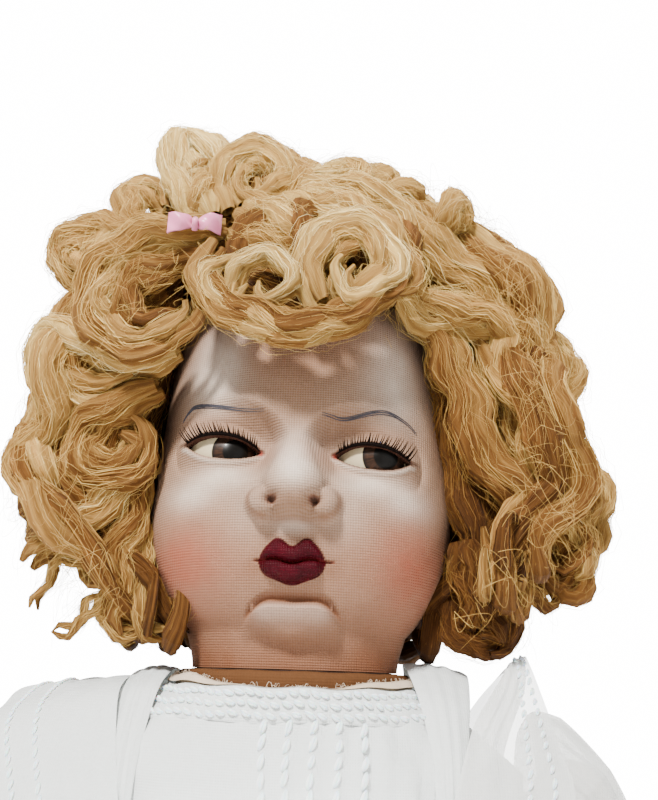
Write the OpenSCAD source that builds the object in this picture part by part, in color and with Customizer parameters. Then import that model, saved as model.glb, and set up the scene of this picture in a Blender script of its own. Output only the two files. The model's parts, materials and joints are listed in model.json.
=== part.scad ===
// Seated cloth-faced ventriloquist figure with a mohair wig and a white voile dress.
// Millimetres. +Z is up, the figure faces -Y, and its own left side is +X.
// The origin lies on the underside of the seat board, below the axis of the head stick.

/* [Head] */
// Width of the face across the cheeks
face_w = 104; // [102:1:106]
// Thickness of the pressed mask and of the back of the head
shell_t = 3.5; // [3:0.1:3.8]
// Outer radius of the neck
neck_r = 34; // [33:0.5:34]
// Height of the lower edge of the neck above the seat
neck_z = 214; // [213:0.5:216]

/* [Eyes] */
// Radius of each glass eye
eye_r = 13; // [12.4:0.1:13]
// Distance of each eye from the middle of the face
eye_x = 23.5; // [22:0.1:23.6]
// Height of the eyes above the lower edge of the neck
eye_z = 64.5; // [63:0.5:65.5]
// How far the eyes glance to the figure's left when the lever is let go
glance = 19; // [10:1:20]

/* [Control stick] */
// Outer radius of the hollow stick
stick_r = 11; // [10.5:0.1:11]
// Length of the stick below the neck
stick_l = 132; // [126:1:134]

/* [Body] */
// Half the width of the torso at the chest
chest_w = 70; // [68:1:71]
// Half the depth of the torso at the chest
chest_d = 43; // [42:1:44]
// Height of the top of the torso above the seat
torso_h = 204; // [203:0.5:205]
// Thickness of the torso shell
torso_t = 5; // [4:0.5:5]

/* [Limbs] */
// Length of the arm from the shoulder to the wrist
arm_l = 138; // [130:1:142]
// How far the arm leans away from the body
arm_out = 14; // [13:0.5:16]
// How far forward the arm is swung
arm_forward = 25; // [15:1:30]
// Length of the leg from the hip to the ankle
leg_l = 205; // [195:1:215]

/* [Dress] */
// Half the width of the skirt over the thighs
skirt_w = 96; // [90:1:97]
// Thickness of the cloth solids
cloth_t = 2.5; // [2:0.1:2.6]

/* [Hidden] */
$fn = 64;
HULL_FN = 32;
FIT = 0.06;    // radial running clearance of a pin in its bore
GAP = 0.4;     // space between neighbouring cloth and casing surfaces
FAR = 400;     // longer than anything that is cut

// Head profile: a cheek ball, a skull ball above it and a straight neck.
cheek_r = face_w / 2;
cheek_z = 48;
skull_r = 48;
skull_z = 94;
CHEEK_START = -45;
SKULL_START = 5;

// Eye linkage: three cranks of the same length, joined by one bar.
eye_y = -29;
crank_l = 19;
wire_r = 1.2;
rod_r = 1.25;
rod_x = 4.2;
crank_z = eye_z + eye_r + 1;

// Jaw: a plate that swings on an axle behind the control rods. Its two side arms lie at jaw_arms.
jaw_y = 8;
jaw_z = 38;
jaw_front_r = 60.5;
jaw_half_w = 12;
jaw_pull_y = -30;
lip_z = 30;
slot_z = 13.5;
JAW_T = 5;      // thickness of the jaw's front plate
jaw_arms = [-11.5, 8.5];
trigger_z = -62;

// Neck joint
ball_r = 18;
ball_z = neck_z - 22;
ball_top = neck_z - 6;
board_r = 29.9;
board_t = 16;

// Torso: half width and half depth at the neck, heights of its widest slices, and the hand's opening in the back.
top_w = 46;
top_d = 36;
shoulder_line = 185;
belly_z = 60;
TORSO_LOW = 10.2;
opening = [72, 90, 86];
opening_z = 86;

// Seat board and the block on it
SEAT_T = 10;
spine_w = 18;

// Shoulders and hips
shoulder = [90, 0, 176];
bolt_r = 3;
arm_r = 13;
sleeve_r = 25;
hip = [36, -22, 26];
leg_r = 23;
hip_clear = 28;

// Neckline: outer radius of the cloth under the neck, and of the collar
stub_r = 37.5;
collar_r = 44;

// Skirt
waist_z = 112;
lap_z = 64;
HEM_Z = 5;

// Depth, height and lean of each button on the back of the bodice
BUTTONS = [[chest_d + 3.6, 178.5, 1.8], [chest_d + 1.8, 190, 18.4]];

// Wig
CAP_R = 51.8;
SIDE_R = 116;
BACK_R = 92;
FRINGE_R = 74;
WIG_LOW = 9;
CROWN_LOW = 150;
CROWN_TOP = 186;

// ---------------------------------------------------------------- helpers

function arc(cx, cz, r, a0, a1, n = 10) =
    [for (i = [0:n]) let (a = a0 + (a1 - a0) * i / n) [cx + r * cos(a), cz + r * sin(a)]];

function reversed(v) = [for (i = [len(v) - 1:-1:0]) v[i]];

// A tube swept along a helix: turns from z0 to z1, as one polyhedron.
module coil(r, wire, z0, z1, turns, sides = 8, steps = 14) {
    n = turns * steps;
    pts = [for (i = [0:n]) let (a = 360 * i / steps, z = z0 + (z1 - z0) * i / n)
           for (k = [0:sides - 1]) let (b = 360 * k / sides, q = r + wire * cos(b))
           [q * cos(a), q * sin(a), z + wire * sin(b)]];
    walls = [for (i = [0:n - 1]) for (k = [0:sides - 1]) let (k2 = (k + 1) % sides)
             [i * sides + k, (i + 1) * sides + k, (i + 1) * sides + k2, i * sides + k2]];
    low = [for (k = [0:sides - 1]) k];
    high = [for (k = [sides - 1:-1:0]) n * sides + k];
    polyhedron(pts, concat(walls, [low], [high]), convexity = 10);
}

module head() { translate([0, 0, neck_z]) children(); }

module on_side(s) { mirror([s < 0 ? 1 : 0, 0, 0]) children(); }

module pin(r, a, b) {  // a cylinder along X from a to b
    translate([a, 0, 0]) rotate([0, 90, 0]) cylinder(r = r, h = b - a);
}

// ---------------------------------------------------------------- torso

module slice(w, d, z, e) {
    translate([0, 0, z]) scale([1, (d + e) / (w + e), 1]) cylinder(r = w + e, h = 1, $fn = HULL_FN);
}

// The torso's outer form grown by e.
module torso_form(e, low = 0) {
    hull() {
        slice(top_w, top_d, torso_h - 1 + e, e);
        slice(chest_w, chest_d, shoulder_line, e);
        slice(chest_w + 4, chest_d + 4, belly_z, e);
        slice(chest_w - 2, chest_d + 3, low, e);
    }
}

module back_opening(grow = 0) {
    translate([-opening[0] / 2 - grow, 0, opening_z - grow])
        cube([opening[0] + 2 * grow, opening[1], opening[2] + 2 * grow]);
}

module leg_space() {
    translate([0, hip[1], hip[2]]) pin(hip_clear, -FAR / 2, FAR / 2);
    translate([-FAR / 2, -FAR, -1]) cube([FAR, FAR + hip[1], hip[2] + hip_clear + 1]);
    translate([-FAR / 2, -FAR, -1]) cube([FAR, FAR + 6, hip[2] + 1]);
}

module torso_shell() color([0.80, 0.66, 0.50]) difference() {
    torso_form(0, TORSO_LOW);
    difference() {
        torso_form(-torso_t, TORSO_LOW);
        translate([-FAR / 2, -FAR / 2, torso_h - torso_t]) cube([FAR, FAR, 20]);
    }
    translate([0, 0, torso_h - 30]) cylinder(r = board_r + GAP / 2, h = 60);
    back_opening();
    leg_space();
    translate([0, 0, -1]) cube([FAR, FAR, 22.6], center = true);
    translate([0, shoulder[1], shoulder[2]]) pin(bolt_r + FIT, -FAR / 2, FAR / 2);
}

module shoulder_board() color([0.72, 0.53, 0.33]) difference() {
    translate([0, 0, ball_z + 8 - board_t]) cylinder(r = board_r, h = board_t);
    translate([0, 0, ball_z]) sphere(r = ball_r + FIT);
}

module seat_board() color([0.72, 0.53, 0.33]) {
    translate([-60, 8, 0]) cube([120, 34, SEAT_T]);
    translate([-spine_w / 2, -34, 0]) cube([spine_w, 42.01, SEAT_T]);
}

module hip_block() color([0.66, 0.48, 0.30]) difference() {
    translate([-spine_w / 2, -36, SEAT_T]) cube([spine_w, 74, 30]);
    translate([0, hip[1], hip[2]]) pin(bolt_r, -10, 10);
}

module hip_rod() color([0.62, 0.62, 0.64])
    translate([0, hip[1], hip[2]]) pin(bolt_r, -50, 50);

module neck_cloth() color([0.66, 0.48, 0.36])
    rotate_extrude() polygon([[21, torso_h + 0.2], [stub_r, torso_h + 0.2], [stub_r, torso_h + 2],
                              [27, torso_h + 4.6], [21, torso_h + 4.6]]);

// ---------------------------------------------------------------- dress

module dress_bodice() color([0.95, 0.95, 0.93]) difference() {
    torso_form(3);
    torso_form(GAP);
    cylinder(r = stub_r + 0.3, h = FAR);
    translate([0, 0, torso_h + 0.1]) cylinder(r = collar_r + GAP, h = 20);
    translate([0, 0, waist_z - 100 + 0.2]) cube([FAR, FAR, 200], center = true);
    translate([0, 0, shoulder[2]]) pin(14, -FAR / 2, FAR / 2);
    back_opening(-2);
}

module skirt_form(e) {
    hull() {
        slice(66, 46, waist_z - 1, 4 + e);
        translate([0, -18, 0]) slice(skirt_w, 98, 70, e);
        translate([0, -12, 0]) slice(skirt_w + 12, 90, HEM_Z, e);
    }
}

module dress_skirt() color([0.94, 0.94, 0.92]) difference() {
    skirt_form(0);
    difference() {
        skirt_form(-cloth_t);
        translate([0, 0, waist_z + 48.2]) cube([FAR, FAR, 100], center = true);
    }
    translate([0, 0, HEM_Z - 10]) cube([FAR, FAR, 20], center = true);
    translate([-68, -FAR, -1]) cube([136, FAR - 10, lap_z + 1]);
    torso_form(GAP);
    translate([-FAR / 2, -FAR / 2, waist_z]) cube([FAR, FAR, 50]);
}

module collar_band() color([0.97, 0.97, 0.96])
    rotate_extrude() polygon([[stub_r + 0.7, torso_h + 0.2], [collar_r, torso_h + 0.2],
                              [42.4, torso_h + 4.2], [39.6, torso_h + 4.2]]);

// Ruffled strap over the shoulder, outside the bodice.
module bretelle(s) color([0.97, 0.97, 0.97]) on_side(s) difference() {
    intersection() {
        torso_form(5.8);
        translate([46, -FAR / 2, 128]) cube([28, FAR, 100]);
    }
    torso_form(3 + GAP / 2);
    translate([0, 0, 100]) cylinder(r = collar_r, h = 200);
    translate([0, 0, shoulder[2]]) pin(sleeve_r + 1, 0, FAR);
}

module back_buttons() color([0.93, 0.90, 0.84])
    for (b = BUTTONS) translate([0, b[0], b[1]]) rotate([b[2] - 90, 0, 0]) difference() {
        cylinder(r = 4, h = 2.2);
        for (x = [-1.3, 1.3]) translate([x, 0, -1]) cylinder(r = 0.5, h = 6);
    }

// ---------------------------------------------------------------- neck joint

module neck_ball() color([0.74, 0.56, 0.36]) difference() {
    translate([0, 0, ball_z]) sphere(r = ball_r);
    translate([-30, -30, ball_top]) cube([60, 60, 40]);
    translate([-30, -30, ball_z - ball_r + 2 - 40]) cube([60, 60, 40]);
    cylinder(r = stick_r + FIT, h = FAR);
}

module neck_washer() color([0.55, 0.16, 0.14]) difference() {
    translate([0, 0, ball_top]) cylinder(r = 17, h = neck_z - ball_top);
    cylinder(r = stick_r + FIT, h = FAR);
}

// ---------------------------------------------------------------- head shells

function head_outline(e) = concat(
    [[neck_r + e, 0]],
    arc(0, cheek_z, cheek_r + e, CHEEK_START, SKULL_START, 14),
    arc(0, skull_z, skull_r + e, SKULL_START, 90, 16));

module head_solid(e) {
    rotate_extrude() polygon(concat([[0, 0]], head_outline(e)));
}

module head_shell() {
    rotate_extrude() polygon(concat(head_outline(0), reversed(head_outline(-shell_t))));
}

module at_eye(s) { translate([s * eye_x, eye_y, eye_z]) children(); }

module eye_opening() {
    hull() for (x = [-6, 6]) translate([x, -30, 0]) rotate([-90, 0, 0]) cylinder(r = 5, h = 30, $fn = HULL_FN);
}

// The slot the jaw shows in, and below it the pocket its plate slides down into, behind the chin.
module jaw_slot() {
    translate([-jaw_half_w - GAP, -70, slot_z]) cube([2 * jaw_half_w + 2 * GAP, 40, lip_z + 0.3 - slot_z]);
    intersection() {
        translate([0, jaw_y, jaw_z]) difference() {
            pin(jaw_front_r + 0.6, -jaw_half_w - GAP, jaw_half_w + GAP);
            pin(jaw_front_r - JAW_T - 0.6, -FAR, FAR);
        }
        translate([-20, -70, 4]) cube([40, 60, 20]);
    }
}

module face_mask() color([0.82, 0.70, 0.62]) head() difference() {
    union() {
        intersection() {
            head_shell();
            translate([-FAR / 2, -FAR + 4, 0]) cube([FAR, FAR, FAR]);
        }
        translate([0, -47, 44]) hull() {  // nose
            translate([0, -10, 0]) sphere(r = 6.5, $fn = HULL_FN);
            translate([0, 2, 14]) sphere(r = 4, $fn = HULL_FN);
            for (x = [-7, 7]) translate([x, 0, 0]) sphere(r = 5, $fn = HULL_FN);
        }
        hull() for (x = [-5, 5]) translate([x, -50, lip_z + 4.2]) sphere(r = 3.6, $fn = HULL_FN);
        translate([0, -42, 12]) difference() {  // chin
            hull() for (x = [-10, 10]) translate([x, 0, 0]) sphere(r = 11, $fn = HULL_FN);
            translate([-30, 0, -30]) cube(60);
        }
    }
    jaw_slot();
    for (s = [-1, 1]) {
        at_eye(s) sphere(r = eye_r + 0.4);
        at_eye(s) eye_opening();
    }
}

module head_back() color([0.78, 0.66, 0.55]) head() intersection() {
    head_shell();
    translate([-FAR / 2, 4, 0]) cube([FAR, FAR, FAR]);
}

module neck_disc() color([0.72, 0.53, 0.33]) head() difference() {
    cylinder(r = neck_r - shell_t - 0.1, h = 10);
    translate([0, 0, -1]) cylinder(r = stick_r, h = 20);
}

// ---------------------------------------------------------------- control stick

module head_stick() color([0.78, 0.62, 0.42]) head() difference() {
    translate([0, 0, -stick_l]) cylinder(r = stick_r, h = stick_l + 14);
    translate([0, 0, -stick_l - 1]) cylinder(r = stick_r - 3, h = stick_l + 20);
    translate([0, -4, trigger_z - 9]) cube([20, 8, 18]);           // slot of the jaw trigger
    translate([-20, -8, trigger_z - 4]) cube([16, 16, 8]);         // slot of the eye lever
}

module stick_grip() color([0.45, 0.27, 0.15]) head() rotate_extrude()
    polygon(concat([[stick_r, -stick_l], [stick_r, -stick_l + 54], [13, -stick_l + 54]],
                   arc(-30, -stick_l + 27, 47, 23.8, -23.8, 12), [[13, -stick_l]]));

module rod_guide() color([0.70, 0.55, 0.36]) head() difference() {
    translate([0, 0, 4]) cylinder(r = stick_r - 3, h = 10);
    for (x = [-rod_x, rod_x]) translate([x, 0, 0]) cylinder(r = rod_r + FIT, h = 30);
}

// ---------------------------------------------------------------- eyes

module eye_frame() color([0.60, 0.60, 0.62]) head() difference() {
    union() {
        for (z = [eye_z - 17, eye_z + 17]) translate([-32, eye_y - 4, z]) cube([64, 8, 2.5]);
        translate([-3.5, eye_y - 4, eye_z - 17]) cube([7, 8, 35]);
    }
    for (s = [-1, 1]) at_eye(s) translate([0, 0, -40]) cylinder(r = wire_r + FIT, h = 80);
}

module eye(s) color([0.90, 0.86, 0.78]) head() at_eye(s) difference() {
    sphere(r = eye_r);
    translate([0, 0, -20]) cylinder(r = wire_r, h = 40);
}

// Crank of crank_l, turned to the resting glance, with a pin at its end.
module crank(thick = 2) {
    rotate([0, 0, glance]) {
        translate([-2, -2, 0]) cube([4, crank_l + 4, thick]);
        translate([0, crank_l, 0]) cylinder(r = wire_r, h = thick + 3.6);
    }
}

module eye_axle(s) color([0.70, 0.70, 0.72]) head() at_eye(s) {
    translate([0, 0, -17.5]) cylinder(r = wire_r, h = 37.5);
    translate([0, 0, eye_r + 1]) crank();
}

module eye_link() color([0.66, 0.58, 0.38]) head()
    translate([-crank_l * sin(glance), crank_l * cos(glance), crank_z + 2.3]) difference() {
        union() {
            translate([-eye_x - 3, eye_y - 2.5, 0]) cube([2 * eye_x + 6, 5, 1.8]);
            translate([-rod_x - 2.5, eye_y, 0]) cube([5, -eye_y + 3, 1.8]);
        }
        for (p = [[-eye_x, eye_y], [eye_x, eye_y], [-rod_x, 0]])
            translate([p[0], p[1], -1]) cylinder(r = wire_r + (p[0] > 0 ? 0.25 : FIT), h = 5);
    }

module eye_rod() color([0.70, 0.70, 0.72]) head() translate([-rod_x, 0, 0]) {
    translate([0, 0, trigger_z - 6]) cylinder(r = rod_r, h = crank_z - trigger_z + 8);
    translate([0, 0, crank_z]) crank();
}

module eye_lever() color([0.75, 0.62, 0.30]) head() translate([-rod_x, 0, trigger_z - 1.5])
    rotate([0, 0, glance]) difference() {
        union() {
            translate([-20, -2.5, 0]) cube([20, 5, 3]);
            translate([-22, 0, 0]) cylinder(r = 5, h = 3);
            cylinder(r = 2.9, h = 3);
        }
        translate([0, 0, -1]) cylinder(r = rod_r, h = 6);
    }

// ---------------------------------------------------------------- jaw

module jaw_plate() color([0.80, 0.68, 0.58]) head() difference() {
    union() {
        intersection() {  // the curved front that shows below the upper lip
            difference() {
                translate([0, jaw_y, jaw_z]) pin(jaw_front_r, -jaw_half_w, jaw_half_w);
                translate([0, jaw_y, jaw_z]) pin(jaw_front_r - JAW_T, -jaw_half_w - 1, jaw_half_w + 1);
            }
            translate([-jaw_half_w, -60, 15]) cube([2 * jaw_half_w, 30, lip_z - 15]);
        }
        for (x = jaw_arms) translate([x, -48, 25]) cube([3, 50, 5]);
        for (x = jaw_arms) translate([x, jaw_y - 9, 25]) cube([3, 5, jaw_z - 24]);
        for (x = jaw_arms) translate([x, jaw_y, jaw_z]) rotate([0, 90, 0]) cylinder(r = 5.2, h = 3);
        translate([jaw_arms[0], jaw_pull_y - 1.5, 25]) cube([23, 3, 3]);
    }
    translate([0, jaw_y, jaw_z]) pin(1.5 + FIT, -20, 20);
}

module lower_lip() color([0.42, 0.06, 0.13]) head() difference() {
    hull() for (x = [-5.5, 5.5]) translate([x, -52.2, lip_z - 3.6]) sphere(r = 3.2, $fn = HULL_FN);
    translate([0, jaw_y, jaw_z]) pin(jaw_front_r + 0.15, -20, 20);
    translate([-20, -70, lip_z - 0.3]) cube([40, 40, 10]);
}

module jaw_axle() color([0.66, 0.66, 0.68]) head() translate([0, jaw_y, jaw_z]) pin(1.5, -40, 40);

module axle_blocks() color([0.70, 0.52, 0.32]) head() difference() {
    for (s = [-1, 1]) on_side(s) translate([34, jaw_y - 5, jaw_z - 5]) cube([9.6, 10, 10]);
    translate([0, jaw_y, jaw_z]) pin(1.5, -40, 40);
}

module jaw_rod() color([0.70, 0.70, 0.72]) head() {
    translate([rod_x, 0, trigger_z - 6]) cylinder(r = rod_r, h = 28.2 - trigger_z + 9);
    translate([rod_x - 1.5, jaw_pull_y + 2.5, 28.4]) cube([3, -jaw_pull_y, 2.5]);
    translate([rod_x - 1.5, jaw_pull_y - 3.5, 28.4]) cube([3, 7, 2.5]);
}

module jaw_trigger() color([0.75, 0.62, 0.30]) head() translate([0, 0, trigger_z - 1.5]) difference() {
    union() {
        translate([rod_x, -2.5, 0]) cube([18, 5, 3]);
        translate([24, 0, 0]) cylinder(r = 6, h = 3);
        translate([rod_x, 0, 0]) cylinder(r = 2.9, h = 3);
    }
    translate([rod_x, 0, -1]) cylinder(r = rod_r, h = 6);
}

module jaw_spring() color([0.6, 0.6, 0.62]) head() translate([rod_x, 0, 0])
    coil(2.4, 0.4, 14.6, 27.8, 6);

// ---------------------------------------------------------------- lashes, wig and ribbon

module lashes(s) color([0.12, 0.08, 0.06]) head() on_side(s)
    rotate_extrude(angle = 25, start = -77)
        polygon([[cheek_r - 0.6, 68.6], [cheek_r + 2.8, 70.6], [cheek_r + 2.8, 71.4], [cheek_r - 0.9, 69.6]]);

module wig_cap() color([0.72, 0.62, 0.48]) head()
    rotate_extrude() polygon(concat(arc(0, skull_z, skull_r + 0.3, 12, 90),
                                    reversed(arc(0, skull_z, CAP_R, 12, 90))));

module wig_sector(a0, a1, outer) head()
    rotate_extrude(angle = a1 - a0, start = a0)
        polygon(concat([[58, WIG_LOW]], arc(0, skull_z, CAP_R + 1, 8, 60, 8), [[30, CROWN_LOW - 2]],
                       [[outer * 0.72, CROWN_LOW - 0.5]],
                       arc(outer - 34, 108, 34, 60, -10, 7), [[outer, 46], [outer - 10, 20], [outer - 26, WIG_LOW]]));

module wig_crown() color([0.80, 0.62, 0.38]) head() rotate_extrude()
    polygon(concat([[0, skull_z + CAP_R + 0.5], [18, CROWN_LOW], [82, CROWN_LOW]],
                   arc(58, CROWN_TOP - 28, 28, -12, 75, 8), [[30, CROWN_TOP - 0.5], [0, CROWN_TOP]]));

module wig_fringe() color([0.82, 0.65, 0.42]) head()
    rotate_extrude(angle = 98, start = -139)
        polygon(concat(arc(FRINGE_R - 14, 120, 14, -90, 90, 12), [[54, 134], [53.5, 107]]));

module wig_side_left() color([0.76, 0.57, 0.33]) wig_sector(-38, 48, SIDE_R);
module wig_side_right() color([0.76, 0.57, 0.33]) wig_sector(132, 218, SIDE_R);
module wig_back() color([0.74, 0.55, 0.32]) wig_sector(48.2, 131.8, BACK_R);

// A small flat bow: two loops and a knot.
module hair_ribbon() color([0.88, 0.55, 0.68]) head() translate([-33, -50, 140.2]) rotate([0, 0, 22]) {
    linear_extrude(height = 4) polygon([[-17, -5.5], [-14, -6.5], [-3, -1.6], [3, -1.6], [14, -6.5], [17, -5.5],
                                        [17, 5.5], [14, 6.5], [3, 1.6], [-3, 1.6], [-14, 6.5], [-17, 5.5]]);
}

// ---------------------------------------------------------------- arms

module arm_frame(s) on_side(s) translate(shoulder) rotate([-arm_forward, 0, 0])
    rotate([0, -arm_out, 0]) rotate([180, 0, 0]) children();

ELBOW_BEND = 25;
upper_l = arm_l * 0.52;

module limb(r0, r1, l, e = 0) {
    rotate_extrude() polygon(concat([[0, -r0 - e]], arc(0, 0, r0 + e, -80, 0, 8),
                                    arc(0, l, r1 + e, 0, 80, 8), [[0, l + r1 + e]]));
}

module forearm_frame() translate([0, 0, upper_l]) rotate([-ELBOW_BEND, 0, 0]) children();

module arm(s) color([0.86, 0.70, 0.58]) difference() {
    arm_frame(s) {
        limb(arm_r, 11.5, upper_l);
        forearm_frame() {
            limb(11.4, 8, arm_l - upper_l);
            hull() {
                translate([0, 0, arm_l - upper_l + 4]) sphere(r = 7.4, $fn = HULL_FN);
                translate([-3, 1, arm_l - upper_l + 24]) scale([0.8, 1.1, 1.3]) sphere(r = 6, $fn = HULL_FN);
            }
            hull() {
                translate([-1, -6, arm_l - upper_l + 6]) sphere(r = 4, $fn = HULL_FN);
                translate([-3, -11, arm_l - upper_l + 17]) sphere(r = 3, $fn = HULL_FN);
            }
        }
    }
    on_side(s) translate(shoulder) pin(bolt_r, -30, -6);
}

module shoulder_bolt(s) color([0.62, 0.62, 0.64]) on_side(s) translate([0, shoulder[1], shoulder[2]]) {
    pin(bolt_r, 58, shoulder[0] - 6);
    pin(6, 57, 60);
}

module sleeve(s) color([0.94, 0.94, 0.93]) difference() {
    on_side(s) translate(shoulder - [2, 0, 0]) sphere(r = sleeve_r);
    on_side(s) translate([-FAR + shoulder[0] - 15.6, -FAR / 2, 0]) cube([FAR, FAR, FAR]);
    arm_frame(s) limb(arm_r, 11.5, upper_l, GAP);
    arm_frame(s) translate([-40, -40, 21]) cube([80, 80, 40]);
    on_side(s) translate([0, shoulder[1], shoulder[2]]) pin(bolt_r + GAP, 0, 82);
}

// ---------------------------------------------------------------- legs

LEG_DROP = 2.6;   // how far the leg's axis falls towards the heel
ankle_r = 12.5;

module leg_frame(s) on_side(s) translate(hip) rotate([90 + LEG_DROP, 0, 0]) children();

module leg_form(e) {
    rotate_extrude() polygon(concat([[0, -leg_r - e]], arc(0, 0, leg_r + e, -80, 10, 10),
                                    [[19 + e, leg_l * 0.46], [19.5 + e, leg_l * 0.58]],
                                    [[ankle_r + e, leg_l * 0.95], [ankle_r + e, leg_l], [0, leg_l]]));
}

module leg(s) color([0.86, 0.70, 0.58]) difference() {
    leg_frame(s) leg_form(0);
    on_side(s) translate([0, hip[1], hip[2]]) pin(bolt_r + FIT, 0, 100);
    on_side(s) translate([-FAR + 9.6, -FAR / 2, -FAR / 2]) cube(FAR);
}

module ring_on_leg(a, b, inner, outer) {
    difference() {
        intersection() {
            leg_form(outer);
            translate([-FAR / 2, -FAR / 2, a]) cube([FAR, FAR, b - a]);
        }
        leg_form(inner);
    }
}

module bloomer(s) color([0.96, 0.96, 0.95]) difference() {
    leg_frame(s) ring_on_leg(6, 60, 0.15, 1.6);
    on_side(s) translate([-FAR + 9.6, -FAR / 2, -FAR / 2]) cube(FAR);
}

module sock(s) color([0.95, 0.95, 0.94]) leg_frame(s) ring_on_leg(leg_l * 0.72, leg_l - 0.2, 0.15, 1.6);

// The foot points up when the figure sits. Local z runs down the leg and local y up to the toes.
module shoe(s) color([0.90, 0.88, 0.84]) leg_frame(s) difference() {
    union() {
        hull() {
            translate([0, 0, leg_l + 4]) sphere(r = 15, $fn = HULL_FN);
            translate([0, 36, leg_l + 11]) scale([1.15, 1, 0.75]) sphere(r = 13, $fn = HULL_FN);
        }
        hull() {
            translate([0, -1, leg_l + 18]) cylinder(r = 14.5, h = 3, $fn = HULL_FN);
            translate([0, 37, leg_l + 18]) cylinder(r = 15, h = 3, $fn = HULL_FN);
        }
    }
    translate([-20, -30, -20]) cube([40, 60, leg_l + 20]);
    translate([-30, -60, leg_l + 21]) cube([60, 140, 20]);
    translate([-30, -75.6, leg_l - 30]) cube([60, 60, 80]);
}

module shoe_strap(s) color([0.90, 0.88, 0.84]) leg_frame(s) translate([0, 0, leg_l - 7]) {
    difference() {
        cylinder(r = ankle_r + 3.6, h = 5);
        translate([0, 0, -1]) cylinder(r = ankle_r + 1.8, h = 7);
    }
    translate([ankle_r + 3.4, 0, 2.5]) rotate([0, 90, 0]) cylinder(r = 2.4, h = 2);
}

// ---------------------------------------------------------------- nodes

torso_shell();
shoulder_board();
seat_board();
hip_block();
hip_rod();
neck_cloth();
dress_bodice();
dress_skirt();
collar_band();
bretelle(1);  // bretelle_left
bretelle(-1);  // bretelle_right
back_buttons();
neck_ball();
neck_washer();
face_mask();
head_back();
neck_disc();
head_stick();
stick_grip();
rod_guide();
eye_frame();
axle_blocks();
jaw_axle();
jaw_spring();
lashes(1);  // lashes_left
lashes(-1);  // lashes_right
wig_cap();
wig_crown();
wig_fringe();
wig_side_left();
wig_side_right();
wig_back();
hair_ribbon();
eye(1);  // eye_left
eye_axle(1);  // eye_axle_left
eye(-1);  // eye_right
eye_axle(-1);  // eye_axle_right
eye_link();
eye_rod();
eye_lever();
jaw_plate();
lower_lip();
jaw_rod();
jaw_trigger();
arm(1);  // arm_left
shoulder_bolt(1);  // shoulder_bolt_left
sleeve(1);  // sleeve_left
arm(-1);  // arm_right
shoulder_bolt(-1);  // shoulder_bolt_right
sleeve(-1);  // sleeve_right
leg(1);  // leg_left
bloomer(1);  // bloomer_left
sock(1);  // sock_left
shoe(1);  // shoe_left
shoe_strap(1);  // shoe_strap_left
leg(-1);  // leg_right
bloomer(-1);  // bloomer_right
sock(-1);  // sock_right
shoe(-1);  // shoe_right
shoe_strap(-1);  // shoe_strap_right
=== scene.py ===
import bmesh
import bpy
import json
import math
import numpy as np
from mathutils import Vector, Matrix


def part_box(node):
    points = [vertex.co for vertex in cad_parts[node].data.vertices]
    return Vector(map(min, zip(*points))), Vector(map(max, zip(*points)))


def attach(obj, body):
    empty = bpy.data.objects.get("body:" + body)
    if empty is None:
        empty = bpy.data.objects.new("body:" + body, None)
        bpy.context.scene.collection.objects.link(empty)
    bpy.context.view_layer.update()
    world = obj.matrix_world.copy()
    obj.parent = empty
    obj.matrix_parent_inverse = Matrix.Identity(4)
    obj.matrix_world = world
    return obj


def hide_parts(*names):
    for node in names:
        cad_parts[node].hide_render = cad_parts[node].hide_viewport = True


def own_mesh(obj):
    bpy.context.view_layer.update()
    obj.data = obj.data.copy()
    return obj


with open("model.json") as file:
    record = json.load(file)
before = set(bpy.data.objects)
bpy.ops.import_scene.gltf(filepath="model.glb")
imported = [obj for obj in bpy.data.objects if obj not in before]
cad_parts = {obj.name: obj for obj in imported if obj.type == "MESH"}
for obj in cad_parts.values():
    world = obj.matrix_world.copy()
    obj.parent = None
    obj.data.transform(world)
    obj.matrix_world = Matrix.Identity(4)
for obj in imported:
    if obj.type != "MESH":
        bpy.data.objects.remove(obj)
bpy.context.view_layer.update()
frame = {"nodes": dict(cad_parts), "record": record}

MM = 0.001
rng = np.random.default_rng(11)
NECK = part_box("face_mask")[0].z / MM          # height of the neck's lower edge, in mm
TORSO_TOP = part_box("torso_shell")[1].z / MM


# ------------------------------------------------------------------ small maths

def smooth(a, b, x):
    t = np.clip((np.asarray(x, float) - a) / (b - a), 0.0, 1.0)
    return t * t * (3 - 2 * t)


def bump(x, c, s):
    return np.exp(-((x - c) / s) ** 2)


def spline(points, n):
    """n points on a Catmull-Rom curve through the control points."""
    p = np.asarray(points, float)
    p = np.vstack([2 * p[0] - p[1], p, 2 * p[-1] - p[-2]])
    seg = np.linspace(0, len(p) - 3 - 1e-9, n)
    i = seg.astype(int)
    t = (seg - i)[:, None]
    a, b, c, d = p[i], p[i + 1], p[i + 2], p[i + 3]
    return 0.5 * (2 * b + (c - a) * t + (2 * a - 5 * b + 4 * c - d) * t ** 2
                  + (3 * b - a - 3 * c + d) * t ** 3)


def frames(path):
    """Unit tangent and two steady normals along a path."""
    t = np.gradient(path, axis=0)
    t /= np.linalg.norm(t, axis=1)[:, None] + 1e-9
    n = np.zeros_like(t)
    start = np.cross(t[0], [0.31, 0.91, 0.27])
    n[0] = start / np.linalg.norm(start)
    for i in range(1, len(t)):
        v = n[i - 1] - t[i] * (n[i - 1] @ t[i])
        n[i] = v / (np.linalg.norm(v) + 1e-9)
    return t, n, np.cross(t, n)


# ------------------------------------------------------------------ mesh helpers

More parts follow.
